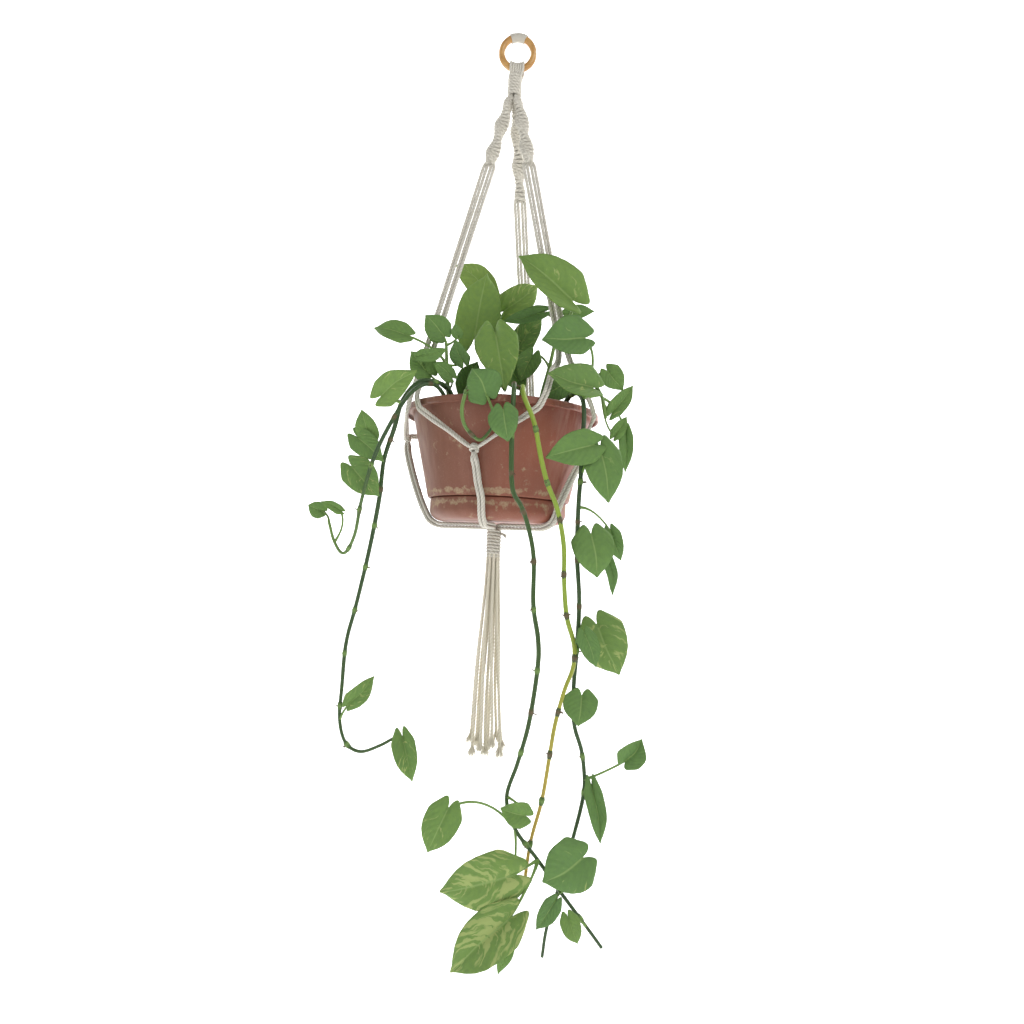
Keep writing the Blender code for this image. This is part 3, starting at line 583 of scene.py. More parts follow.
def leaf_look(name, under):
    """A pothos blade: midrib, side veins, cream streaks between them, and a waxy upper face."""
    look = Looks(name, 0.55 if under else 0.36, specular=0.09)
    across, along, tone, cream = look.values("leaf")
    seed, _, _, gold = look.values("leaf_kind")
    side = look.math("ABSOLUTE", across)
    veins = look.less(look.times(along, VEINS), look.times(side, VEIN_SLOPE))
    wave = look.math("SINE", look.times(veins, 2 * pi))
    place = look.place()[3]
    drift = look.math("ADD", veins, look.times(look.noise(place, 70.0, 2.0), 1.6))
    streak = look.noise(look.scaled((drift, across, seed), (1.0, 0.9, 40.0)), 1.7, 4.0)
    mottle = look.noise(place, 190.0, 4.0, 0.65)
    deep = look.mix(tone, (0.010, 0.092, 0.002), (0.125, 0.240, 0.002))
    light = look.mix(tone, (0.034, 0.155, 0.004), (0.200, 0.335, 0.004))
    colour = look.mix(look.band(mottle, 0.35, 0.68), deep, light)
    colour = look.tinted(colour, wave, 0.55, 1.0, 0.30, light)
    colour = look.tinted(colour, gold, 0.0, 1.0, 0.55, (0.520, 0.520, 0.060))
    edge = look.less(0.76, look.times(cream, 0.27))
    patches = look.band(look.less(streak, edge), -0.02, 0.05)
    colour = look.mix(look.times(patches, look.band(cream, 0.0, 0.3)), colour, (0.480, 0.530, 0.150))
    colour = look.mix(look.band(side, 0.012, 0.060, 0.75, 0.0), colour, (0.330, 0.460, 0.120))
    if under:
        colour = look.mix(0.55, colour, (0.190, 0.290, 0.130))
    smooth, rough = (0.46, 0.62) if under else (0.27, 0.40)
    normal = look.bump(mottle, 0.10, 0.0005, look.bump(wave, 0.18, 0.0006))
    return look.done(colour, look.band(mottle, 0.3, 0.7, smooth, rough), normal)


def stem_look():
    """Stems, stalks and roots: the colour at each vertex, with long ridges and flecks."""
    look = Looks("stem", 0.5, coat=0.08, specular=0.4)
    colour = look.node("ShaderNodeAttribute", attribute_name="tint").outputs["Color"]
    *spot, _ = look.values("fibre")
    ridges = look.noise(look.scaled(spot, (2.2, 2.2, 60.0)), 1.0)
    flecks = look.noise(look.place()[3], 900.0)
    shade = look.mix(look.band(ridges, 0.35, 0.65, 0.0, 0.5), (1.0, 1.0, 1.0), (0.55, 0.62, 0.50))
    colour = look.mix(1.0, colour, shade, "MULTIPLY")
    colour = look.tinted(colour, flecks, 0.60, 0.72, 0.25, (0.330, 0.300, 0.130))
    return look.done(colour, normal=look.bump(ridges, 0.35, 0.0008))


def floor_look():
    look = Looks("pale_floor", 0.9, specular=0.1)
    look.shader.inputs["Emission Color"].default_value = (1, 1, 1, 1)
    look.shader.inputs["Emission Strength"].default_value = FLOOR_GLOW
    return look.done((0.90, 0.90, 0.895))


# The second colour of each cotton is painted shade for the grooves between the strands.
COTTON = cotton_look("cotton_cord", (0.700, 0.672, 0.600), (0.400, 0.365, 0.300), (0.520, 0.495, 0.425))
TASSEL_COTTON = cotton_look(
    "tassel_cord", (0.760, 0.715, 0.600), (0.560, 0.495, 0.365), (0.660, 0.605, 0.480)
)
WOOD = wood_look()
POT_PLASTIC = plastic_look("pot_plastic", WALL_LOW + 0.013)
TRAY_PLASTIC = plastic_look("tray_plastic", WALL_LOW - 0.015)
EARTH = soil_look()
LEAF_TOP = leaf_look("leaf_upper_face", under=False)
LEAF_UNDER = leaf_look("leaf_lower_face", under=True)
STEM = stem_look()


# ---- ring, loops and neck ----


def settle(piece, body, slot, *nodes):
    """Puts a piece on its body, in place of the CAD nodes that it stands for; slot, the name of its finish,
    is not used.
    """
    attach(piece, body)
    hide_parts(*nodes)


def ring_place(angle, around, radius):
    """A place round the ring's bar: angle counts from the ring's top, around goes round the bar."""
    outward = Vector((sin(angle), 0, cos(angle)))
    middle = Vector((0, 0, RING_Z)) + RING_MAJOR * outward
    return middle + radius * (outward * cos(around) + Vector((0, sin(around), 0)))


def add_wooden_ring():
    steps, sides = 120, 28
    verts = [ring_place(a, b, RING_TUBE) for a in round_angles(steps) for b in round_angles(sides)]
    ring = link_mesh("wooden_ring_turned", verts, skin(steps, sides, loop=True), WOOD)
    settle(ring, "root", "ring_wood", "wooden_ring")


def add_ring_top_wrap():
    """Fine cord wound closely round the top of the ring."""
    half = radians(RING_WRAP_HALF_ANGLE)
    per_turn = 20
    steps = RING_WRAP_TURNS * per_turn
    route = []
    for k in range(steps + 1):
        angle = half * (2 * k / steps - 1)
        route.append(ring_place(angle, 2 * pi * k / per_turn, RING_TUBE + RING_WRAP / 2))
    pitch = 2 * half * RING_MAJOR / RING_WRAP_TURNS
    wrap, _ = rope("ring_top_wrap_coil", route, COTTON, pitch * 1.04, SMALL_ROPE_STEP, ease=0)
    settle(wrap, "root", "cotton_cord", "ring_top_wrap")


def add_ring_loops():
    """The sling's cords, folded side by side over the ring's lower bar."""
    loops = []
    for index in range(LOOPS_COUNT):
        x = (index - (LOOPS_COUNT - 1) / 2) * LOOPS_PITCH
        rise = RING_MAJOR - sqrt(RING_MAJOR**2 - x**2)
        reach = RING_TUBE + LOOPS_GAP + LOOPS_CORD / 2 + rise
        foot_y, foot_drop = LOOPS_FOOT
        foot_x = NECK_X + LOOPS_GATHER * x
        front, back = (Vector((foot_x, y, NECK_TOP - foot_drop)) for y in (-foot_y, foot_y))
        arc = []
        for a in np.radians(np.linspace(*LOOPS_ARC, 13)):
            arc.append(Vector((x, -reach * cos(a), RING_BAR_Z + reach * sin(a))))
        name = f"ring_loop_{index + 1}"
        loops.append(rope(name, [front, *arc, back], COTTON, LOOPS_CORD * 1.05, ease=3)[0])
    settle(joined("ring_loops_cords", loops), "hanger", "cotton_cord", "ring_loops")


def coil(name, centre, radius, top, low, turns, diameter, squeeze=0.0):
    """Turns of cord lying on each other round an upright line, the first and last tucked in. squeeze is how
    far the last quarter draws in."""
    route = []
    steps = int(turns * 28)
    for k in range(steps + 1):
        t = k / steps
        a = 2 * pi * turns * t + 0.6
        inward = max(0, 1 - t * turns * 3) + max(0, 1 - (1 - t) * turns * 3)
        r = radius - 0.0022 * inward - squeeze * max(0, t - 0.75) * 4
        route.append((centre[0] + r * cos(a), centre[1] + r * sin(a), top + (low - top) * t))
    return rope(name, route, COTTON, diameter, ease=0)[0]


def add_neck_wrap():
    top = NECK_TOP + NECK_RISE
    pitch = (top - NECK_BOTTOM) / NECK_TURNS
    first, last = top - pitch / 2, NECK_BOTTOM + pitch / 2
    turns = NECK_TURNS - 0.6
    radius = NECK_R - CORD_D / 2
    wrap = coil("neck_wrap_coil", (NECK_X, 0), radius, first, last, turns, pitch * ROPE_FULLNESS)
    settle(wrap, "hanger", "cotton_cord", "neck_wrap")


# ---- arms ----


def arm_line(arm, z):
    """The middle of an arm at a height: a straight run from the neck to the pot's rim."""
    angle = ARM_ANGLES[arm]
    top = polar(angle, SINNET_TOP_OFFSET, NECK_BOTTOM) + Vector((NECK_X, 0, 0))
    rim = polar(angle, RIM_R + RIM_GAP + CORD_D / 2, RIM_TOP)
    return top.lerp(rim, (z - NECK_BOTTOM) / (RIM_TOP - NECK_BOTTOM))


def sinnet_shape(arm, t):
    """Middle, half width, half depth and turn of an arm's oval section, t running from 0 to 1 down it."""
    start = NECK_BOTTOM - FIT_GAP
    centre = arm_line(arm, start + (SINNET_END_Z[arm] - start) * t)
    grow = min(1, SINNET_TOP_R / SINNET_R[0] + (1 - SINNET_TOP_R / SINNET_R[0]) * t / 0.15)
    end = held((t - 0.90) / 0.05)
    wide = SINNET_R[0] * grow * (1 - end) + SINNET_END_R[0] * end
    deep = max(SINNET_R[1] * grow, SINNET_TOP_R * 0.8) * (1 - end) + SINNET_END_R[1] * end
    return centre, wide, deep, SINNET_TWISTS[arm] * pi * t


def sinnet_place(arm, t, x, y, z):
    """A place beside an arm's middle, in the directions of its section, which turns as it goes down."""
    centre, _, _, turn = sinnet_shape(arm, t)
    return centre + Matrix.Rotation(turn, 3, "Z") @ Vector((x, y, z))


def add_sinnet(arm):
    """Half knots tied one under another: two working cords cross before and behind two core cords."""
    knots = round((NECK_BOTTOM - SINNET_END_Z[arm]) / HALF_KNOT)
    steps = knots * 12
    cords = []
    for cord in range(2):
        route = []
        for t in (k / steps for k in range(steps + 1)):
            _, wide, deep, _ = sinnet_shape(arm, t)
            a = pi * knots * t + cord * pi
            x = (wide - CORD_D * 0.42) * cos(a) * (1 + 0.17 * abs(cos(a)) ** 6)
            route.append(sinnet_place(arm, t, x, (deep - CORD_D * 0.42) * sin(a), SINNET_SAG * cos(2 * a)))
        name = f"sinnet_{arm}_work_{cord + 1}"
        cords.append(rope(name, route, COTTON, CORD_D * 1.16, ease=1, hand=1 - 2 * cord)[0])
    for cord in (-1, 1):
        route = [arm_line(arm, NECK_BOTTOM + 0.006)]
        for t in (k / 8 for k in range(9)):
            route.append(sinnet_place(arm, t, cord * 0.38 * sinnet_shape(arm, t)[1], 0, 0))
        cords.append(rope(f"sinnet_{arm}_core", route, COTTON, CORD_D * 1.1, step=0.002)[0])
    settle(joined(f"sinnet_{arm}_knots", cords), "hanger", "cotton_cord", f"sinnet_{arm}")


def wall_radius(z):
    """How far the pot reaches out at a height, its lip counted down to where a cord passes under it."""
    if z > RIM_LOW - LIP_CLEAR:
        return RIM_R
    part = (WALL_TOP - z) / (WALL_TOP - WALL_LOW)
    return WALL_TOP_R + (WALL_LOW_R - WALL_TOP_R) * min(part, 1)


def taut(start, end, clear, steps=14):
    """A cord pulled tight round the pot's wall from start to end, standing clear of the wall."""
    found = []
    for k in range(1, steps):
        point = Vector(start).lerp(Vector(end), k / steps)
        out = flat(point)
        least = wall_radius(point.z) + clear
        if out.length < least:
            out = out.normalized() * least
        found.append(Vector((out.x, out.y, point.z)))
    return found


# Each pair of cords: its arm, the angle where its outer cord crosses the rim, the knot that it goes to,
# and the way round the pot that it runs to get there, 1 for a growing angle and -1 for a falling one.
PAIRS = [
    ("left", 219.5, "front", 1),
    ("left", 208, "left", -1),
    ("right", 291.5, "front", -1),
    ("right", 331, "right", 1),
    ("back", 65.5, "right", -1),
    ("back", 78.5, "left", 1),
]
RIM_CROSSING_R = RIM_R + RIM_GAP + CORD_D / 2
RIM_SLANT = (1.2, 2.2)
SPLIT_SLOPE = 0.37


def knot_centre(knot):
    return polar(*KNOTS[knot])


def knot_entry(knot, way):
    """Where a pair meets the side of its knot, coming the given way round the pot."""
    angle, r, z = KNOTS[knot]
    side = KNOT_HALF[0] + CORD_D / 2 + FIT_GAP
    return polar(angle - way * degrees(side / r), r - 0.0012, z + 0.0052)


def pair_path(arm, angle, knot, way):
    """The route of a pair's outer cord: down the arm, over the rim, and round the wall to the knot."""
    end_z = SINNET_END_Z[arm]
    across = Vector((1 if polar(angle, 1, 0).x > polar(ARM_ANGLES[arm], 1, 0).x else -1, 0, 0))
    top = arm_line(arm, end_z) + across * 1.6 * CORD_PITCH - Vector((0, 0, 0.0024))
    over = polar(angle - way * RIM_SLANT[0], RIM_CROSSING_R, RIM_TOP + 0.002)
    split = arm_line(arm, SPLIT_Z[arm]) + across * 1.5 * CORD_PITCH
    out = flat(split)
    least = RIM_CROSSING_R - SPLIT_SLOPE * (split.z - RIM_TOP)
    split += out.normalized() * max(least - out.length, 0)
    points = [top, top.lerp(split, 0.5), split]
    points += [split.lerp(over, t) for t in (0.5, 0.9)]
    points.append(polar(angle, RIM_CROSSING_R, RIM_TOP - 0.002))
    under = polar(angle + way * RIM_SLANT[1], RIM_CROSSING_R, RIM_LOW - LIP_CLEAR)
    points.append(under)
    points += taut(under, knot_entry(knot, way), CORD_STANDOFF)
    points.append(knot_entry(knot, way))
    return points, across


def inner_offset(points, arm, way, across):
    """Where the pair's second cord lies beside each point of the first: next to it, then half over it."""
    face_top = Vector((0, 1 if arm == "back" else -1, 0))
    found = []
    for point, along in zip(points, tangents(points)):
        down = held((SINNET_END_Z[arm] - point.z) / (SINNET_END_Z[arm] - RIM_TOP))
        radial = flat(point).normalized()
        round_angle = degrees(atan2(point.y, point.x))
        outward = face_top.slerp(radial, down) if down < 1 else radial
        outward = (outward - along * outward.dot(along)).normalized()
        side = along.cross(outward).normalized()
        reference = (-across).lerp(polar(round_angle - way * 90, 1, 0), down)
        if down >= 1:
            reference = Vector((0, 0, -1)) - 0.4 * way * polar(round_angle + 90, 1, 0)
        if side.dot(reference) < 0:
            side = -side
        lean = radians(STACK_ANGLE) * held((RIM_LOW - point.z) / 0.03)
        found.append(point + CORD_PITCH * (side * cos(lean) + outward * sin(lean)))
    return found


def add_arm_cords():
    for arm, angle, knot, way in PAIRS:
        points, across = pair_path(arm, angle, knot, way)
        outer = smooth_points(points, 110)
        inner = inner_offset(outer, arm, way, across)
        root = arm_line(arm, SINNET_END_Z[arm] + 0.006)
        for side, run in (("outer", outer), ("inner", inner)):
            start = root.lerp(run[0], 0.45) + Vector((0, 0, 0.002))
            end = knot_centre(knot).lerp(run[-1], BURIED)
            name = f"cord_{arm}_to_{knot}_{side}"
            cord, _ = rope(f"{name}_laid", [start, *run, end], COTTON, CORD_D * ROPE_FULLNESS)
            settle(cord, "hanger", "cotton_cord", name)


# ---- knots and sling ----


def add_knot(knot):
    """Two turns of cord pulled tight round the strands, under a small bight."""
    angle = KNOTS[knot][0]
    out = polar(angle, 1, 0)
    side = polar(angle + 90, 1, 0)
    middle = knot_centre(knot)
    wide = KNOT_HALF[0] - CORD_D * 0.48
    deep = KNOT_HALF[1] - CORD_D * 0.40
    turns = []
    for k in range(56):
        a = 2 * pi * k / 24 - 0.9
        rise = 0.0030 - 0.0058 * k / 55 + 0.0012 * sin(a)
        turns.append(middle + side * wide * cos(a) + out * deep * sin(a) + Vector((0, 0, rise)))
    bight = []
    for a in np.radians(np.linspace(200, -20, 13)):
        rise = 0.0020 + 0.0032 * sin(a)
        bight.append(middle + side * wide * 0.85 * cos(a) + out * deep * 0.35 + Vector((0, 0, rise)))
    parts = []
    for name, route, ease in (("turns", turns, 2), ("bight", bight, 1)):
        parts.append(rope(f"knot_{knot}_{name}", route, COTTON, CORD_D * 0.98, SMALL_ROPE_STEP, ease)[0])
    settle(joined(f"knot_{knot}_tied", parts), "hanger", "cotton_cord", f"knot_{knot}")


# The middle line of each bundle of four cords below its knot, as (angle, radius, height)
TRAY_CLEAR = CORD_STANDOFF + 0.0004
BUNDLES = {
    "front": [(255.5, 0.1040, -0.566), (257, 0.0995, -0.588), (259, 0.0962, -0.604)],
    "right": [(330, 0.1085, -0.562), (325, 0.1030, -0.583), (321, 0.0975, -0.604)],
    "left": [(178, 0.1185, -0.546), (181, 0.1090, -0.577), (184, 0.0985, -0.605)],
}


def bundle_path(knot):
    """Down the wall from a knot, round the tray's corner and under the tray to the hub."""
    angle, r, z = KNOTS[knot]
    last = BUNDLES[knot][-1]
    points = [polar(angle, r - 0.0025, z - KNOT_HALF[2] - 0.0022)]
    points += [polar(*p) for p in BUNDLES[knot]]
    corner = TRAY_R - TRAY_FLAT_R + TRAY_CLEAR
    level = TRAY_BOTTOM - TRAY_CLEAR
    for turn in (15, 45, 75):
        out = TRAY_FLAT_R + corner * cos(radians(turn))
        down = level + corner * TRAY_CORNER_SQUASH * (1 - sin(radians(turn)))
        points.append(polar(last[0], out, down))
    edge = polar(last[0], TRAY_FLAT_R - 0.004, level)
    hub = Vector((*HUB, level))
    points.append(edge)
    points.append(edge.lerp(hub, 0.5))
    points.append(hub + (edge - hub).normalized() * (WRAP_R + 0.0006))
    return points


def bundle_frames(points, hub_side):
    """For each point: the way across the bundle, and the way out from the pot."""
    found = []
    across = Vector((0, 0, 1)).cross(hub_side).normalized()
    for along in tangents(points):
        level = (across - along * across.dot(along)).normalized()
        out = along.cross(level).normalized()
        found.append((level, out if out.dot(hub_side) > 0 or out.z < 0 else -out))
    return found


def add_sling_cords(knot):
    """Four cords side by side, from a knot down the wall and under the tray into the wrap."""
    centre = smooth_points(bundle_path(knot), 60)
    hub_side = flat(centre[40] - Vector((*HUB, 0))).normalized()
    frames = bundle_frames(centre, hub_side)
    for row in range(2):
        for column in (-0.5, 0.5):
            run = []
            for point, (across, out) in zip(centre, frames):
                run.append(point + CORD_PITCH * (column * across + row * out))
            start = knot_centre(knot).lerp(run[0], BURIED)
            aside = frames[-1][0] * column * CORD_PITCH * 0.8
            turn_in = []
            for drop, reach in ((0.0006, 0.0052), (0.0030, 0.0032 - row / 1000), (0.01, 0.0030 - row / 1000)):
                turn_in.append(Vector((*HUB, run[-1].z - drop)) + hub_side * reach + aside)
            name = f"sling_{knot}_{'outer' if row else 'inner'}_{'a' if column < 0 else 'b'}"
            cord, _ = rope(f"{name}_laid", [start, *run, *turn_in], COTTON, CORD_D * ROPE_FULLNESS)
            settle(cord, "hanger", "cotton_cord", name)


# ---- bottom wrap and tassel ----


def frayed_end(name, tip, way, look, count, reach, spread, seed):
    """Loose fibres at a cord's cut end: fine curved threads that fan out."""
    rng = np.random.default_rng(seed)
    verts, faces, values = [], [], []
    sides = 4
    first = unit(np.cross(way, (0.2, 0.9, 0.1)))
    second = np.cross(way, first)
    t = np.linspace(0, 1, 6)[:, None]
    for _ in range(count):
        a = rng.uniform(0, 2 * pi)
        r = CORD_D / 2 * 0.85 * sqrt(rng.uniform(0, 1))
        out = first * cos(a) + second * sin(a)
        length = reach * rng.uniform(0.55, 1.15)
        lean = spread * rng.uniform(0.2, 1.3)
        bend = rng.normal(0, 0.0014, 3)
        base = tip + out * r - way * FRAY_ROOT
        run = base + way * (length + FRAY_ROOT) * t + out * lean * t**2 + bend * t**2
        faces += skin(len(run), sides, len(verts))
        verts += list(tube_verts(run, FRAY_R * (1 - 0.6 * t[:, 0]), sides))
        around = np.tile(round_angles(sides), len(run))
        values += [(cos(b), sin(b), k * 0.01, 0.9) for k, b in enumerate(around)]
    fray = link_mesh(name, verts, faces, look)
    add_values(fray, "fibre", values)
    return fray


def add_bottom_wrap():
    """The gathering wrap over the cords' ends, with the end of the wrapping cord left out at its right."""
    pitch = (WRAP_TOP - WRAP_LOW) / WRAP_TURNS
    size = (WRAP_R - 0.0021, WRAP_TOP, WRAP_LOW, WRAP_TURNS, pitch * ROPE_FULLNESS)
    turns = coil("bottom_wrap_coil", HUB, *size, squeeze=0.0012)
    root = Vector((HUB[0] + WRAP_R, HUB[1] - 0.001, HUB_TOP - 0.0152))
    route = [root + Vector(step) for step in WRAP_TAIL]
    tail, run = rope("wrap_tail", route, COTTON, CORD_D * 0.95, SMALL_ROPE_STEP)
    fray = frayed_end("wrap_tail_fray", run[-1], unit(run[-1] - run[-4]), COTTON, 22, 0.0022, 0.0010, 5)
    core = []
    for index, a in enumerate(round_angles(WRAP_CORES)):
        places = [(0.0056, HUB_TOP - 0.005), (0.0052, WRAP_TOP), (0.0046, WRAP_LOW)]
        route = [(HUB[0] + r * cos(a), HUB[1] + r * sin(a), z) for r, z in places]
        core.append(rope(f"wrap_core_{index}", route, COTTON, CORD_D, step=0.002)[0])
    wrap = joined("bottom_wrap_coil", [turns, tail, fray, *core])
    settle(wrap, "hanger", "cotton_cord", "bottom_wrap")


# Where each tassel cord leaves the wrap: three inside a ring of nine
TASSEL_PLACES = [(0.00255, 30 + 120 * k) for k in range(3)] + [(0.0070, 40 * k) for k in range(9)]


def tassel_path(index):
    """A cord of the tassel hanging down from the wrap, spreading a little, with a slow wave."""
    radius, angle = TASSEL_PLACES[index]
    top = WRAP_BALL_Z - sqrt(TASSEL_PIVOT_R**2 - max(radius - CORD_D / 2, 0) ** 2) - 0.0002
    end = TASSEL_END + 0.008 * sin(2.1 * index)
    points = []
    for k in range(8):
        t = k / 7
        spread = 1 + (TASSEL_SPREAD - 1) * t**1.2
        wave = TASSEL_WAVE * t * sin(5.2 * t + 0.35 * index)
        turn = radians(angle + 10 * t)
        x = HUB[0] + radius * spread * cos(turn) + wave
        y = HUB[1] + radius * spread * sin(turn) + 0.6 * wave
        points.append((x, y, top + (end - top) * t))
    return points


def add_tassel():
    """Twelve free cord ends, bending from the wrap, each with its fibres loose at the cut end."""
    for index in range(len(TASSEL_PLACES)):
        run = smooth_points(tassel_path(index), 40)
        run[-1:] = [run[-2].lerp(run[-1], 0.2)]
        start = run[0] + Vector((0, 0, TASSEL_HIDDEN))
        name = f"tassel_cord_{index + 1}"
        cord, points = rope(f"{name}_laid", [start, *run], TASSEL_COTTON, CORD_D * 1.03, groove=0.20)
        way = unit(points[-1] - points[-8])
        fray = frayed_end(f"{name}_fray", points[-1], way, TASSEL_COTTON, 110, 0.0130, 0.0042, 40 + index)
        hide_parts(name)
        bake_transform(cord)
        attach(fray, "tassel")


# ---- pot, tray and soil ----


def add_pot():
    """The pot: a tapered wall with a rolled lip, open below between lip and wall, and a foot in the tray."""
    profile = [
        (RIM_R, RIM_TOP - 0.0004),
        (RIM_R + 0.0002, RIM_LOW + 0.0016),
        (RIM_R + 0.0007, RIM_LOW + 0.0010),
        (RIM_R + 0.0006, RIM_LOW),
        (RIM_R - 0.0018, RIM_LOW),
        (RIM_R - 0.0024, RIM_TOP - 0.0040),
        (WALL_TOP_R + 0.0012, RIM_TOP - 0.0045),
        (WALL_TOP_R, WALL_TOP),
        (WALL_LOW_R, WALL_LOW + 0.0012),
        (WALL_LOW_R - 0.0012, WALL_LOW),
        (FOOT_R, WALL_LOW),
        (FOOT_R - 0.0008, FOOT_Z),
        (DRAIN_R, FOOT_Z),
        (DRAIN_R, FOOT_Z + WALL),
        (FOOT_R - WALL - 0.0008, FOOT_Z + WALL),
        (WALL_LOW_R - WALL - 0.0050, WALL_LOW + WALL + 0.0015),
        (WALL_LOW_R - WALL, WALL_LOW + 0.0100),
        (WALL_TOP_R - WALL, WALL_TOP),
        (WALL_TOP_R - WALL + 0.0012, RIM_TOP - 0.0018),
        (WALL_TOP_R + 0.0008, RIM_TOP),
        (RIM_R - 0.0030, RIM_TOP + 0.0001),
    ]
    pot = turned("pot_shell", rounded(profile, 0.0022), POT_PLASTIC)
    settle(pot, "planted_pot", "pot_plastic", "pot")


def add_drip_tray():
    """The clip-on tray: the pot's shoulder sits on its edge."""
    top = WALL_LOW - FIT_GAP - 0.0005
    inside = FOOT_R + 0.0006
    corner = TRAY_R - TRAY_FLAT_R
    profile = [(inside, top), (TRAY_R - 0.0010, top), (TRAY_R, top - 0.0012)]
    for a in np.radians(np.linspace(0, 90, 13)):
        rise = corner * TRAY_CORNER_SQUASH * (1 - sin(a))
        profile.append((TRAY_FLAT_R + corner * cos(a), TRAY_BOTTOM + rise))
    profile += [
        (TRAY_FLAT_R - 0.004, TRAY_BOTTOM),
        (TRAY_FLAT_R - 0.006, TRAY_BOTTOM + 0.0008),
        (0.002, TRAY_BOTTOM + 0.0008),
        (0.002, TRAY_BOTTOM + TRAY_WALL),
        (TRAY_FLAT_R, TRAY_BOTTOM + TRAY_WALL),
        (inside - 0.0020, TRAY_BOTTOM + 0.0100),
    ]
    tray = turned("drip_tray_shell", rounded(profile, 0.0006, 2), TRAY_PLASTIC)
    settle(tray, "planted_pot", "pot_plastic", "drip_tray")


def add_soil():
    """Crumbly potting soil with lumps on it."""
    rng = np.random.default_rng(11)
    reach = wall_radius(SOIL_TOP) - WALL - 0.0006
    rings, sides = 46, 120
    angles = round_angles(sides)
    spread = [reach * (k + 0.6) / (rings - 0.4) for k in range(rings)]
    verts = np.array([(r * cos(a), r * sin(a), SOIL_TOP) for r in spread for a in angles])
    verts[:, 2] += 0.0016 * unit_noise(verts, 90) + 0.0012 * unit_noise(verts, 330, 2)
    low_z = WALL_LOW + 0.011
    low_r = wall_radius(low_z) - WALL - 0.0006
    low = [(low_r * cos(a), low_r * sin(a), low_z) for a in angles]
    bed = link_mesh("soil_bed", [*verts, *low], skin(rings + 1, sides), EARTH)
    lumps = []
    for index in range(SOIL_LUMPS):
        a, r = rng.uniform(0, 2 * pi), (reach - 0.006) * sqrt(rng.uniform(0.01, 1))
        size = rng.uniform(0.0012, 0.0042)
        bm = bmesh.new()
        bmesh.ops.create_icosphere(bm, subdivisions=2, radius=size)
        for vert in bm.verts:
            vert.co *= 1 + 0.35 * float(unit_noise([vert.co], 700, index)[0])
        tilt = Matrix.Rotation(rng.uniform(0, 6), 4, "X")
        flatness = Matrix.Diagonal((1, rng.uniform(0.5, 1), rng.uniform(0.4, 0.9), 1))
        bm.transform(Matrix.Translation((r * cos(a), r * sin(a), SOIL_TOP + 0.0012)) @ tilt @ flatness)
        mesh = bpy.data.meshes.new("lump")
        bm.to_mesh(mesh)
        bm.free()
        mesh.materials.append(EARTH)
        lumps.append(linked("lump", mesh))
    settle(joined("soil_bed", [bed, *lumps]), "planted_pot", "potting_soil", "soil")


# ---- plant ----

# Colours of stems and stalks, as light in linear units
DARK_STEM = (0.040, 0.085, 0.028)
MID_STEM = (0.045, 0.095, 0.022)
YELLOW_STEM = (0.270, 0.380, 0.045)
ORANGE_STEM = (0.560, 0.330, 0.065)
STALK = (0.170, 0.290, 0.070)
NODE_BROWN = (0.130, 0.085, 0.045)
ROOT_BROWN = (0.090, 0.050, 0.025)

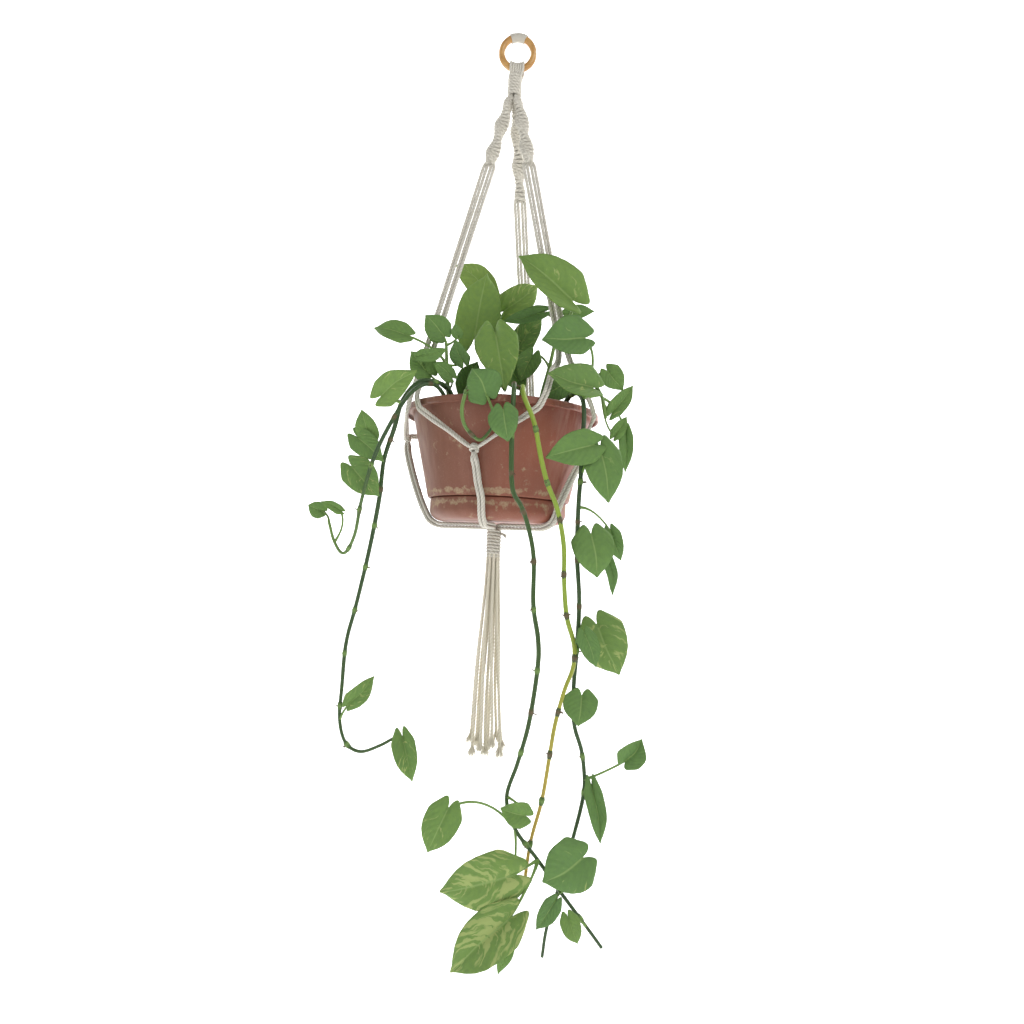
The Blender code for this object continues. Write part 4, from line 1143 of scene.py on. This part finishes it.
# Stems, from root end to tip: radius and points in millimetres, and the colours at the two ends
STEMS = {
    "crown_left": (
        2.2, STALK, STALK,
        [(-60, -52, -501.2), (-66, -66, -470), (-68, -74, -440), (-70, -72, -415)],
    ),
    "crown_centre": (
        2.4, STALK, STALK,
        [(-12, -30, -502.6), (-12, -32, -470), (-10, -25, -430), (-5, -12, -385)],
    ),
    "crown_right": (
        2.4, STALK, STALK,
        [(45, -35, -502.3), (50, -38, -465), (58, -40, -430), (66, -36, -385)],
    ),
    "crown_far_right": (
        2.2, MID_STEM, STALK,
        [
            (70, -18, -503.3), (84, -40, -468), (99, -60, -455), (111, -77, -456), (121, -90, -474),
            (126, -90, -498),
        ],
    ),
    "vine_left_long": (
        2.4, DARK_STEM, MID_STEM,
        [
            (-50, -62, -500.6), (-64, -80, -470), (-80, -97, -464), (-99, -100, -466), (-119, -86, -488),
            (-128, -79, -520), (-140, -70, -557), (-144, -66, -600), (-150, -62, -640), (-158, -60, -685),
            (-169, -58, -739), (-179, -58, -785), (-182, -58, -840), (-183, -58, -880), (-174, -60, -908),
            (-155, -64, -917), (-132, -68, -908), (-112, -70, -896),
        ],
    ),
    "vine_left_short": (
        2.1, DARK_STEM, STALK,
        [
            (-58, -78, -499.6), (-74, -92, -471), (-90, -106, -469), (-108, -112, -484), (-128, -116, -520),
            (-146, -110, -560), (-160, -100, -610), (-168, -90, -650), (-182, -80, -674), (-196, -72, -660),
            (-205, -66, -636),
        ],
    ),
    "vine_centre": (
        2.4, MID_STEM, DARK_STEM,
        [
            (14, -88, -499), (15, -104, -470), (15, -122, -466), (15, -134, -480), (15, -137, -526),
            (18, -137, -586), (29, -136, -607), (38, -135, -630), (46, -135, -666), (48, -135, -720),
            (55, -135, -758), (56, -135, -790), (49, -135, -853), (38, -135, -900), (27, -135, -940),
            (38, -135, -975), (66, -135, -1010), (93, -135, -1045), (125, -133, -1085), (143, -132, -1108),
        ],
    ),
    "vine_yellow": (
        2.4, YELLOW_STEM, ORANGE_STEM,
        [
            (24, -80, -499.5), (24, -98, -476), (25, -118, -468), (27, -132, -482), (40, -135, -512),
            (49, -134, -550), (58, -132, -580), (71, -131, -610), (80, -130, -651), (82, -130, -690),
            (87, -129, -732), (97, -128, -764), (97, -128, -790), (88, -128, -817), (79, -127, -857),
            (74, -126, -897), (68, -124, -945), (57, -122, -995), (52, -120, -1045),
        ],
    ),
    "vine_right": (
        2.4, DARK_STEM, DARK_STEM,
        [
            (72, -48, -501.5), (80, -62, -474), (90, -82, -468), (97, -98, -478), (99, -104, -500),
            (98, -106, -527), (98, -105, -567), (97, -103, -605), (98, -101, -662), (103, -99, -715),
            (103, -98, -767), (101, -97, -828), (104, -96, -865), (114, -95, -895), (119, -95, -930),
            (117, -95, -958), (106, -94, -1010), (94, -92, -1060), (82, -90, -1110), (78, -90, -1145),
        ],
    ),
    "front_loop": (
        2.0, STALK, MID_STEM,
        [
            (-30, -92, -498.7), (-34, -108, -474), (-38, -124, -473), (-42, -134, -490), (-43, -137, -504),
            (-39, -137, -519), (-30, -137, -529), (-20, -137, -535), (-8, -138, -520), (-6, -139, -510),
        ],
    ),
}

# Leaves of each stem: the stem's point that the stalk leaves from, the blade's base and tip, its width, all
# in millimetres; how far it is turned about its own length and how far its left and right halves are folded
# forward, in degrees; and its tone (0 deep green, 1 yellow green), cream streaks and yellowing, each 0 to 1
LEAVES = {
    "crown_left": [
        (3, (-74, -76, -404), (-95, -84, -382), 34, 10, (10, 10), (0.30, 0.1, 0.0)),
        (3, (-56, -74, -404), (-60, -78, -390), 14, 0, (10, 10), (0.35, 0.0, 0.0)),
        (2, (-48, -78, -436), (-59, -84, -411), 24, -20, (15, 15), (0.10, 0.0, 0.0)),
        (2, (-116, -90, -409), (-157, -84, -399), 32, 15, (15, 25), (0.45, 0.2, 0.0)),
        (1, (-98, -97, -434), (-66, -99, -425), 17, 20, (20, 20), (0.35, 0.1, 0.0)),
        (2, (-88, -82, -452), (-110, -90, -428), 32, 0, (10, 10), (0.40, 0.1, 0.0)),
        (1, (-61, -86, -456), (-82, -94, -440), 20, 10, (10, 10), (0.30, 0.0, 0.0)),
    ],
    "crown_centre": [
        (3, (-39, -28, -396), (-27, -14, -306), 58, 0, (12, 14), (0.90, 0.15, 0.05)),
        (3, (-24, 8, -329), (-70, 14, -289), 42, 0, (24, 24), (0.85, 0.45, 0.3)),
        (3, (-2, -6, -353), (40, 0, -315), 42, 0, (20, 24), (0.75, 0.60, 0.2)),
        (2, (-11, -68, -397), (4, -108, -470), 56, 0, (22, 16), (0.85, 0.40, 0.0)),
        (3, (18, -20, -404), (46, -20, -363), 34, 0, (18, 18), (0.35, 0.65, 0.1)),
        (1, (2, -40, -430), (28, -44, -462), 36, 0, (15, 15), (0.25, 0.2, 0.0)),
        (1, (-46, -42, -466), (-33, -46, -428), 32, 0, (15, 15), (0.15, 0.0, 0.0)),
    ],
    "crown_right": [
        (3, (80, -78, -355), (14, -84, -305), 68, 0, (8, 48), (0.72, 0.30, 0.1)),
        (3, (76, -32, -362), (112, -32, -355), 20, 0, (15, 15), (0.30, 0.0, 0.0)),
        (3, (47, -42, -362), (-4, -50, -378), 22, 0, (30, 30), (0.10, 0.1, 0.0)),
        (1, (78, -42, -450), (48, -46, -468), 34, 0, (15, 15), (0.15, 0.1, 0.0)),
        (2, (36, -50, -418), (22, -54, -452), 30, 0, (20, 20), (0.35, 0.3, 0.0)),
    ],
    "crown_far_right": [
        (3, (126, -84, -440), (146, -84, -462), 30, 0, (20, 20), (0.45, 0.2, 0.0)),
        (4, (134, -84, -490), (158, -84, -456), 24, 0, (30, 30), (0.45, 0.3, 0.0)),
        (4, (138, -86, -518), (152, -84, -494), 17, 0, (20, 20), (0.45, 0.2, 0.0)),
        (4, (152, -78, -512), (154, -78, -560), 20, 0, (25, 25), (0.30, 0.3, 0.0)),
    ],
    "vine_left_long": [
        (4, (-141, -106, -485), (-99, -130, -458), 36, 10, (15, 20), (0.65, 0.4, 0.1)),
        (6, (-156, -82, -535), (-167, -88, -500), 28, 0, (15, 15), (0.55, 0.3, 0.0)),
        (6, (-172, -84, -532), (-138, -92, -560), 32, 0, (15, 15), (0.35, 0.3, 0.0)),
        (7, (-176, -88, -568), (-141, -94, -602), 41, 0, (12, 12), (0.45, 0.5, 0.0)),
        (13, (-170, -62, -858), (-142, -66, -824), 26, 0, (25, 25), (0.55, 0.5, 0.0)),
        (17, (-102, -76, -893), (-88, -82, -945), 34, 0, (30, 30), (0.50, 0.6, 0.0)),
    ],
    "vine_left_short": [
        (9, (-190, -72, -622), (-214, -74, -612), 13, 0, (20, 20), (0.5, 0.2, 0.0)),
        (10, (-214, -60, -624), (-233, -60, -617), 22, 0, (15, 15), (0.4, 0.2, 0.0)),
    ],
    "vine_centre": [
        (4, (4, -146, -500), (11, -152, -535), 35, 0, (10, 10), (0.15, 0.05, 0.0)),
        (14, (50, -146, -956), (21, -150, -948), 34, 0, (25, 25), (0.55, 0.2, 0.0)),
        (15, (-38, -148, -950), (-59, -152, -1000), 42, 0, (12, 12), (0.62, 0.45, 0.0)),
        (16, (38, -148, -1022), (-43, -154, -1044), 66, 0, (12, 12), (0.62, 0.85, 0.1)),
        (16, (37, -156, -1066), (-27, -160, -1130), 62, 0, (12, 40), (0.60, 0.85, 0.1)),
        (15, (36, -142, -1088), (26, -144, -1138), 20, 0, (15, 15), (0.45, 0.1, 0.0)),
        (17, (116, -146, -1000), (72, -152, -1028), 64, 0, (12, 12), (0.15, 0.35, 0.0)),
        (17, (86, -148, -1050), (67, -150, -1082), 24, 0, (20, 20), (0.05, 0.0, 0.0)),
        (18, (102, -144, -1068), (114, -146, -1098), 24, 0, (20, 20), (0.50, 0.2, 0.1)),
    ],
    "vine_yellow": [(11, (108, -136, -750), (122, -140, -786), 24, 0, (12, 12), (0.20, 0.1, 0.0))],
    "vine_right": [
        (3, (96, -100, -405), (46, -106, -409), 52, 0, (14, 30), (0.15, 0.25, 0.0)),
        (3, (107, -110, -465), (54, -124, -452), 50, 10, (14, 40), (0.30, 0.55, 0.1)),
        (5, (110, -122, -533), (56, -136, -550), 44, 0, (20, 20), (0.35, 0.15, 0.0)),
        (6, (118, -118, -536), (130, -128, -598), 46, 0, (12, 12), (0.30, 0.20, 0.0)),
        (8, (112, -116, -636), (121, -124, -685), 50, 0, (12, 12), (0.35, 0.10, 0.0)),
        (7, (136, -104, -632), (150, -104, -666), 22, 0, (15, 15), (0.25, 0.2, 0.0)),
        (8, (133, -98, -662), (143, -98, -708), 16, 0, (25, 25), (0.15, 0.2, 0.0)),
        (10, (124, -110, -742), (152, -118, -798), 58, 0, (10, 12), (0.50, 0.60, 0.1)),
        (12, (110, -108, -826), (107, -116, -860), 42, 0, (12, 12), (0.25, 0.15, 0.0)),
        (14, (166, -98, -904), (185, -98, -878), 43, 0, (40, 40), (0.20, 0.1, 0.0)),
        (14, (127, -104, -934), (140, -108, -1000), 27, 0, (35, 35), (0.20, 0.1, 0.0)),
    ],
    "front_loop": [(9, (-16, -128, -482), (-34, -130, -452), 44, 0, (8, 8), (0.10, 0.0, 0.0))],
}

# Half width of a blade along it, as parts of its length and of its full half width
OUTLINE_AT = (0.0, 0.06, 0.14, 0.28, 0.42, 0.58, 0.72, 0.84, 0.93, 1.0)
OUTLINE = (0.70, 0.92, 1.0, 1.0, 0.97, 0.86, 0.65, 0.39, 0.15, 0.015)


def blade_grid(rows, columns):
    """Length and cross positions of a blade's points: along 0 to 1, across -1 to 1."""
    along = np.repeat(np.linspace(0, 1, rows) ** 1.05, columns).reshape(rows, columns)
    across = np.tile(np.linspace(-1, 1, columns), (rows, 1))
    return along, across


def add_blade(name, base, tip, width, turn, folds, look_values, seed):
    """A heart-shaped blade: lobes beside the stalk, a drawn-out tip, sunk veins and an uneven edge."""
    rng = np.random.default_rng(seed)
    rows, columns = 34, 25
    v, u = blade_grid(rows, columns)
    along = (tip - base).normalized()
    side = Matrix.Rotation(radians(turn), 3, along) @ Vector((0, -1, 0)).cross(tip - base).normalized()
    face = along.cross(side).normalized()
    if face.y > 0:
        face = -face
    length = (tip - base).length
    half = np.interp(v, OUTLINE_AT, OUTLINE) * width / 2
    half = half * (1 + 0.05 * rng.normal() * np.sign(u) * np.sin(pi * v))
    lobe = 0.23 * np.sin(pi * np.abs(u) ** 0.85) * (1 - v) ** 2.4
    run = length * (v - lobe)
    x = u * half
    veins = np.sin(2 * pi * (VEINS * v - VEIN_SLOPE * np.abs(u)))
    lift = VEIN_LIFT * veins * np.abs(u) * (1 - np.abs(u)) * 4 * np.sin(pi * v)
    lift -= RIB_DEPTH * np.exp(-((u / 0.10) ** 2)) * (1 - v)
    lift += 0.030 * width * u**2 * np.sin(2 * pi * (rng.uniform(0.9, 1.6) * v + rng.uniform()))
    lift -= 0.10 * width * u**2 * (1 - 0.5 * v)
    arch = rng.uniform(0.05, 0.11) * length * 4 * v * (1 - v) * 0.6 - 0.05 * length * v**4
    swing = 0.035 * length * rng.normal() * np.sin(pi * v) ** 2
    left, right = (radians(a) for a in folds)
    fold = np.where(u < 0, left, right) * np.clip(np.abs(u) / 0.12, 0, 1)
    points = np.array(base) + np.multiply.outer(run, along)
    points += np.multiply.outer(x * np.cos(fold) + swing, side)
    points += np.multiply.outer(np.abs(x) * np.sin(fold) + lift + arch, face)
    corners = [i * columns + j for i in range(rows - 1) for j in range(columns - 1)]
    faces = [(a, a + 1, a + columns + 1, a + columns) for a in corners]
    normal = Vector(np.cross(points[0, 1] - points[0, 0], points[1, 0] - points[0, 0]))
    if normal.dot(face) < 0:
        faces = [tuple(reversed(f)) for f in faces]
    blade = link_mesh(name, points.reshape(-1, 3), faces, LEAF_TOP, LEAF_UNDER)
    tone, cream, gold = look_values
    values = np.stack([u, v, np.full_like(u, tone), np.full_like(u, cream)], axis=-1)
    add_values(blade, "leaf", values)
    kind = np.zeros((rows, columns, 4))
    kind[..., 0] = rng.uniform()
    kind[..., 3] = gold
    add_values(blade, "leaf_kind", kind)
    solid = blade.modifiers.new("thickness", "SOLIDIFY")
    solid.thickness = BLADE_THICK
    solid.offset = -1
    solid.material_offset = 1
    solid.material_offset_rim = 0
    return blade, face


def add_tube(name, route, radii, colours, step, sides, seed=0, ease=3):
    """A stem, stalk or root: a tube whose radius and colour change along it, slightly ridged."""
    points = relaxed(stepped(route, step), ease)
    lengths = run_lengths(points)
    part = lengths / lengths[-1]
    radius = np.interp(part, np.linspace(0, 1, len(radii)), radii)
    around = round_angles(sides)
    relief = 1 + 0.05 * np.cos(around * 4 + seed)
    verts = tube_verts(points, radius, sides, 0.6 * np.sin(lengths * 20 + seed), relief)
    tube = link_mesh(name, verts, skin(len(points), sides), STEM)
    tint = np.ones((len(points), sides, 4))
    for k in range(3):
        shade = np.interp(part, np.linspace(0, 1, len(colours)), [c[k] for c in colours])
        tint[..., k] = shade[:, None]
    add_values(tube, "tint", tint)
    add_fibre(tube, around, lengths, 0)
    return tube, points


def nearest_on(points, place):
    """The number of the point of a run that lies nearest to a place."""
    return int(np.argmin(np.linalg.norm(points - np.array(place), axis=1)))


def add_node_marks(name, points, radius, places, rng):
    """Swollen joints on a stem, some of them brown in the middle, with short root stubs."""
    marks = []
    for index, k in enumerate(places):
        run = points[max(k - 2, 0) : min(k + 2, len(points) - 1) + 1]
        if len(run) < 4:
            continue
        thick = radius * rng.uniform(1.10, 1.24)
        radii = [radius * 0.9, thick, thick * 0.96, radius * 0.9]
        middle = NODE_BROWN if rng.uniform() < BROWN_NODES else STALK
        colours = [MID_STEM, middle, MID_STEM]
        joint, _ = add_tube(f"{name}_joint", run, radii, colours, 0.0009, 12, index, 0)
        marks.append(joint)
        way = unit(run[-1] - run[0])
        for _ in range(int(rng.integers(1, 3))):
            out = unit(np.cross(way, rng.normal(0, 1, 3)))
            reach = rng.uniform(0.003, 0.0075)
            start = points[k] + out * radius * 0.6
            mid = start + out * reach * 0.6 + way * rng.normal(0, 0.001)
            end = start + out * reach + way * rng.normal(0, 0.0022)
            colours = [NODE_BROWN, ROOT_BROWN]
            stub, _ = add_tube(f"{name}_stub", [start, mid, end], STUB_RADII, colours, 0.001, 6)
            marks.append(stub)
    return marks


def stalk_route(start, base, along, face):
    """From a stem up to a blade, which the stalk meets from behind and runs a little way along."""
    reach = (base - start).length
    bend = start.lerp(base, 0.6) - along * 0.30 * reach + Vector((0, 0, 0.10 * reach))
    route = [start.lerp(bend, t).lerp(bend.lerp(base, t), t) for t in np.linspace(0, 1, 12)]
    return [*route, base + along * 0.006 - face * 0.0008]


def add_shoot(name, number):
    """One shoot or vine: its stem with joints and root stubs, and each leaf with its stalk."""
    radius, first, last, route = STEMS[name]
    rng = np.random.default_rng(100 + number)
    radius *= STEM_FULLNESS / 1000
    radii = [radius, radius * 0.95, radius * 0.7]
    route = [mm(p) for p in route]
    run = smooth_points(route, 14 * len(route))
    stem, points = add_tube(f"{name}_stem", run, radii, [first, first, last], STEM_STEP, 12, number)
    nodes = []
    if len(route) > 6:
        every = int(NODE_EVERY / STEM_STEP)
        nodes = [int(k + rng.integers(-4, 5)) for k in range(every, len(points) - 6, every)]
    parts = [stem, *add_node_marks(name, points, radius, nodes, rng)]
    for index, (node, base, tip, width, turn, folds, look_values) in enumerate(LEAVES[name]):
        base, tip = mm(base), mm(tip)
        leaf = f"{name}_leaf_{index + 1}"
        seed = 1000 * number + index
        blade, face = add_blade(leaf, base, tip, width / 1000, turn, folds, look_values, seed)
        settle(blade, "planted_pot", "foliage", name)
        start = Vector(points[nearest_on(points, route[node])])
        stalk = stalk_route(start, base, (tip - base).normalized(), face)
        radii = [STALK_R * (0.75 + width / 140) * part for part in (1.5, 1, 0.95, 1, 0.5)]
        parts.append(add_tube(f"{name}_stalk_{index + 1}", stalk, radii, [STALK], 0.0016, 8)[0])
    shoot = joined(f"{name}_stem", parts)
    settle(shoot, "planted_pot", "foliage", name)


# ---- stage ----


def add_floor():
    """A plain pale floor that curves up behind the planter."""
    profile = [(-4.0, FLOOR_Z)]
    for a in np.radians(np.linspace(0, 90, 13)):
        profile.append((FLOOR_BEND_Y + FLOOR_BEND_R * sin(a), FLOOR_Z + FLOOR_BEND_R * (1 - cos(a))))
    profile.append((FLOOR_BEND_Y + FLOOR_BEND_R, 3.5))
    verts = [(x, y, z) for y, z in profile for x in (-FLOOR_HALF_WIDTH, FLOOR_HALF_WIDTH)]
    faces = [(2 * k, 2 * k + 1, 2 * k + 3, 2 * k + 2) for k in range(len(profile) - 1)]
    link_mesh("pale_floor", verts, faces, floor_look())


# Each light's place, the place that it is aimed at, its diameter, its power and its colour
LIGHTS = {
    "key": ((1.5, -2.0, 0.9), (0, 0, -0.5), 1.8, 31, (1.0, 0.985, 0.96)),
    "fill": ((-2.1, -1.6, -0.2), (0, 0, -0.5), 2.2, 10, (0.95, 0.98, 1.0)),
    "backdrop_left": ((-2.2, 1.2, 1.6), (0, 3.4, -0.4), 1.6, 90, (1, 1, 1)),
    "backdrop_right": ((2.2, 1.2, 1.6), (0, 3.4, -0.4), 1.6, 90, (1, 1, 1)),
}


def add_lights():
    for name, (place, aim, size, power, colour) in LIGHTS.items():
        data = bpy.data.lights.new(name, "AREA")
        data.shape = "DISK"
        data.size = size
        data.energy = power
        data.color = colour
        light = linked(name, data)
        light.location = place
        light.rotation_euler = (Vector(aim) - Vector(place)).to_track_quat("-Z", "Y").to_euler()
    world = bpy.data.worlds.new("soft_studio")
    world.use_nodes = True
    background = world.node_tree.nodes["Background"]
    background.inputs["Color"].default_value = (1, 1, 1, 1)
    background.inputs["Strength"].default_value = WORLD_STRENGTH
    bpy.context.scene.world = world
    bpy.context.scene.view_settings.view_transform = "Standard"


def add_camera():
    data = bpy.data.cameras.new("camera")
    data.lens = CAMERA_LENS
    data.shift_y = CAMERA_SHIFT
    data.sensor_width = CAMERA_SENSOR
    camera = linked("camera", data)
    level = Matrix.Rotation(radians(90), 4, "X")
    roll = Matrix.Rotation(radians(CAMERA_ROLL), 4, "Z")
    camera.matrix_world = Matrix.Translation(CAMERA_PLACE) @ level @ roll
    bpy.context.scene.camera = camera


add_camera()
add_tassel()
add_wooden_ring()
add_ring_top_wrap()
add_ring_loops()
add_neck_wrap()
for arm_name in ARM_ANGLES:
    add_sinnet(arm_name)
add_arm_cords()
for knot_name in KNOTS:
    add_knot(knot_name)
    add_sling_cords(knot_name)
add_bottom_wrap()
add_pot()
add_drip_tray()
add_soil()
for stem_number, stem_name in enumerate(STEMS):
    add_shoot(stem_name, stem_number)
add_floor()
add_lights()
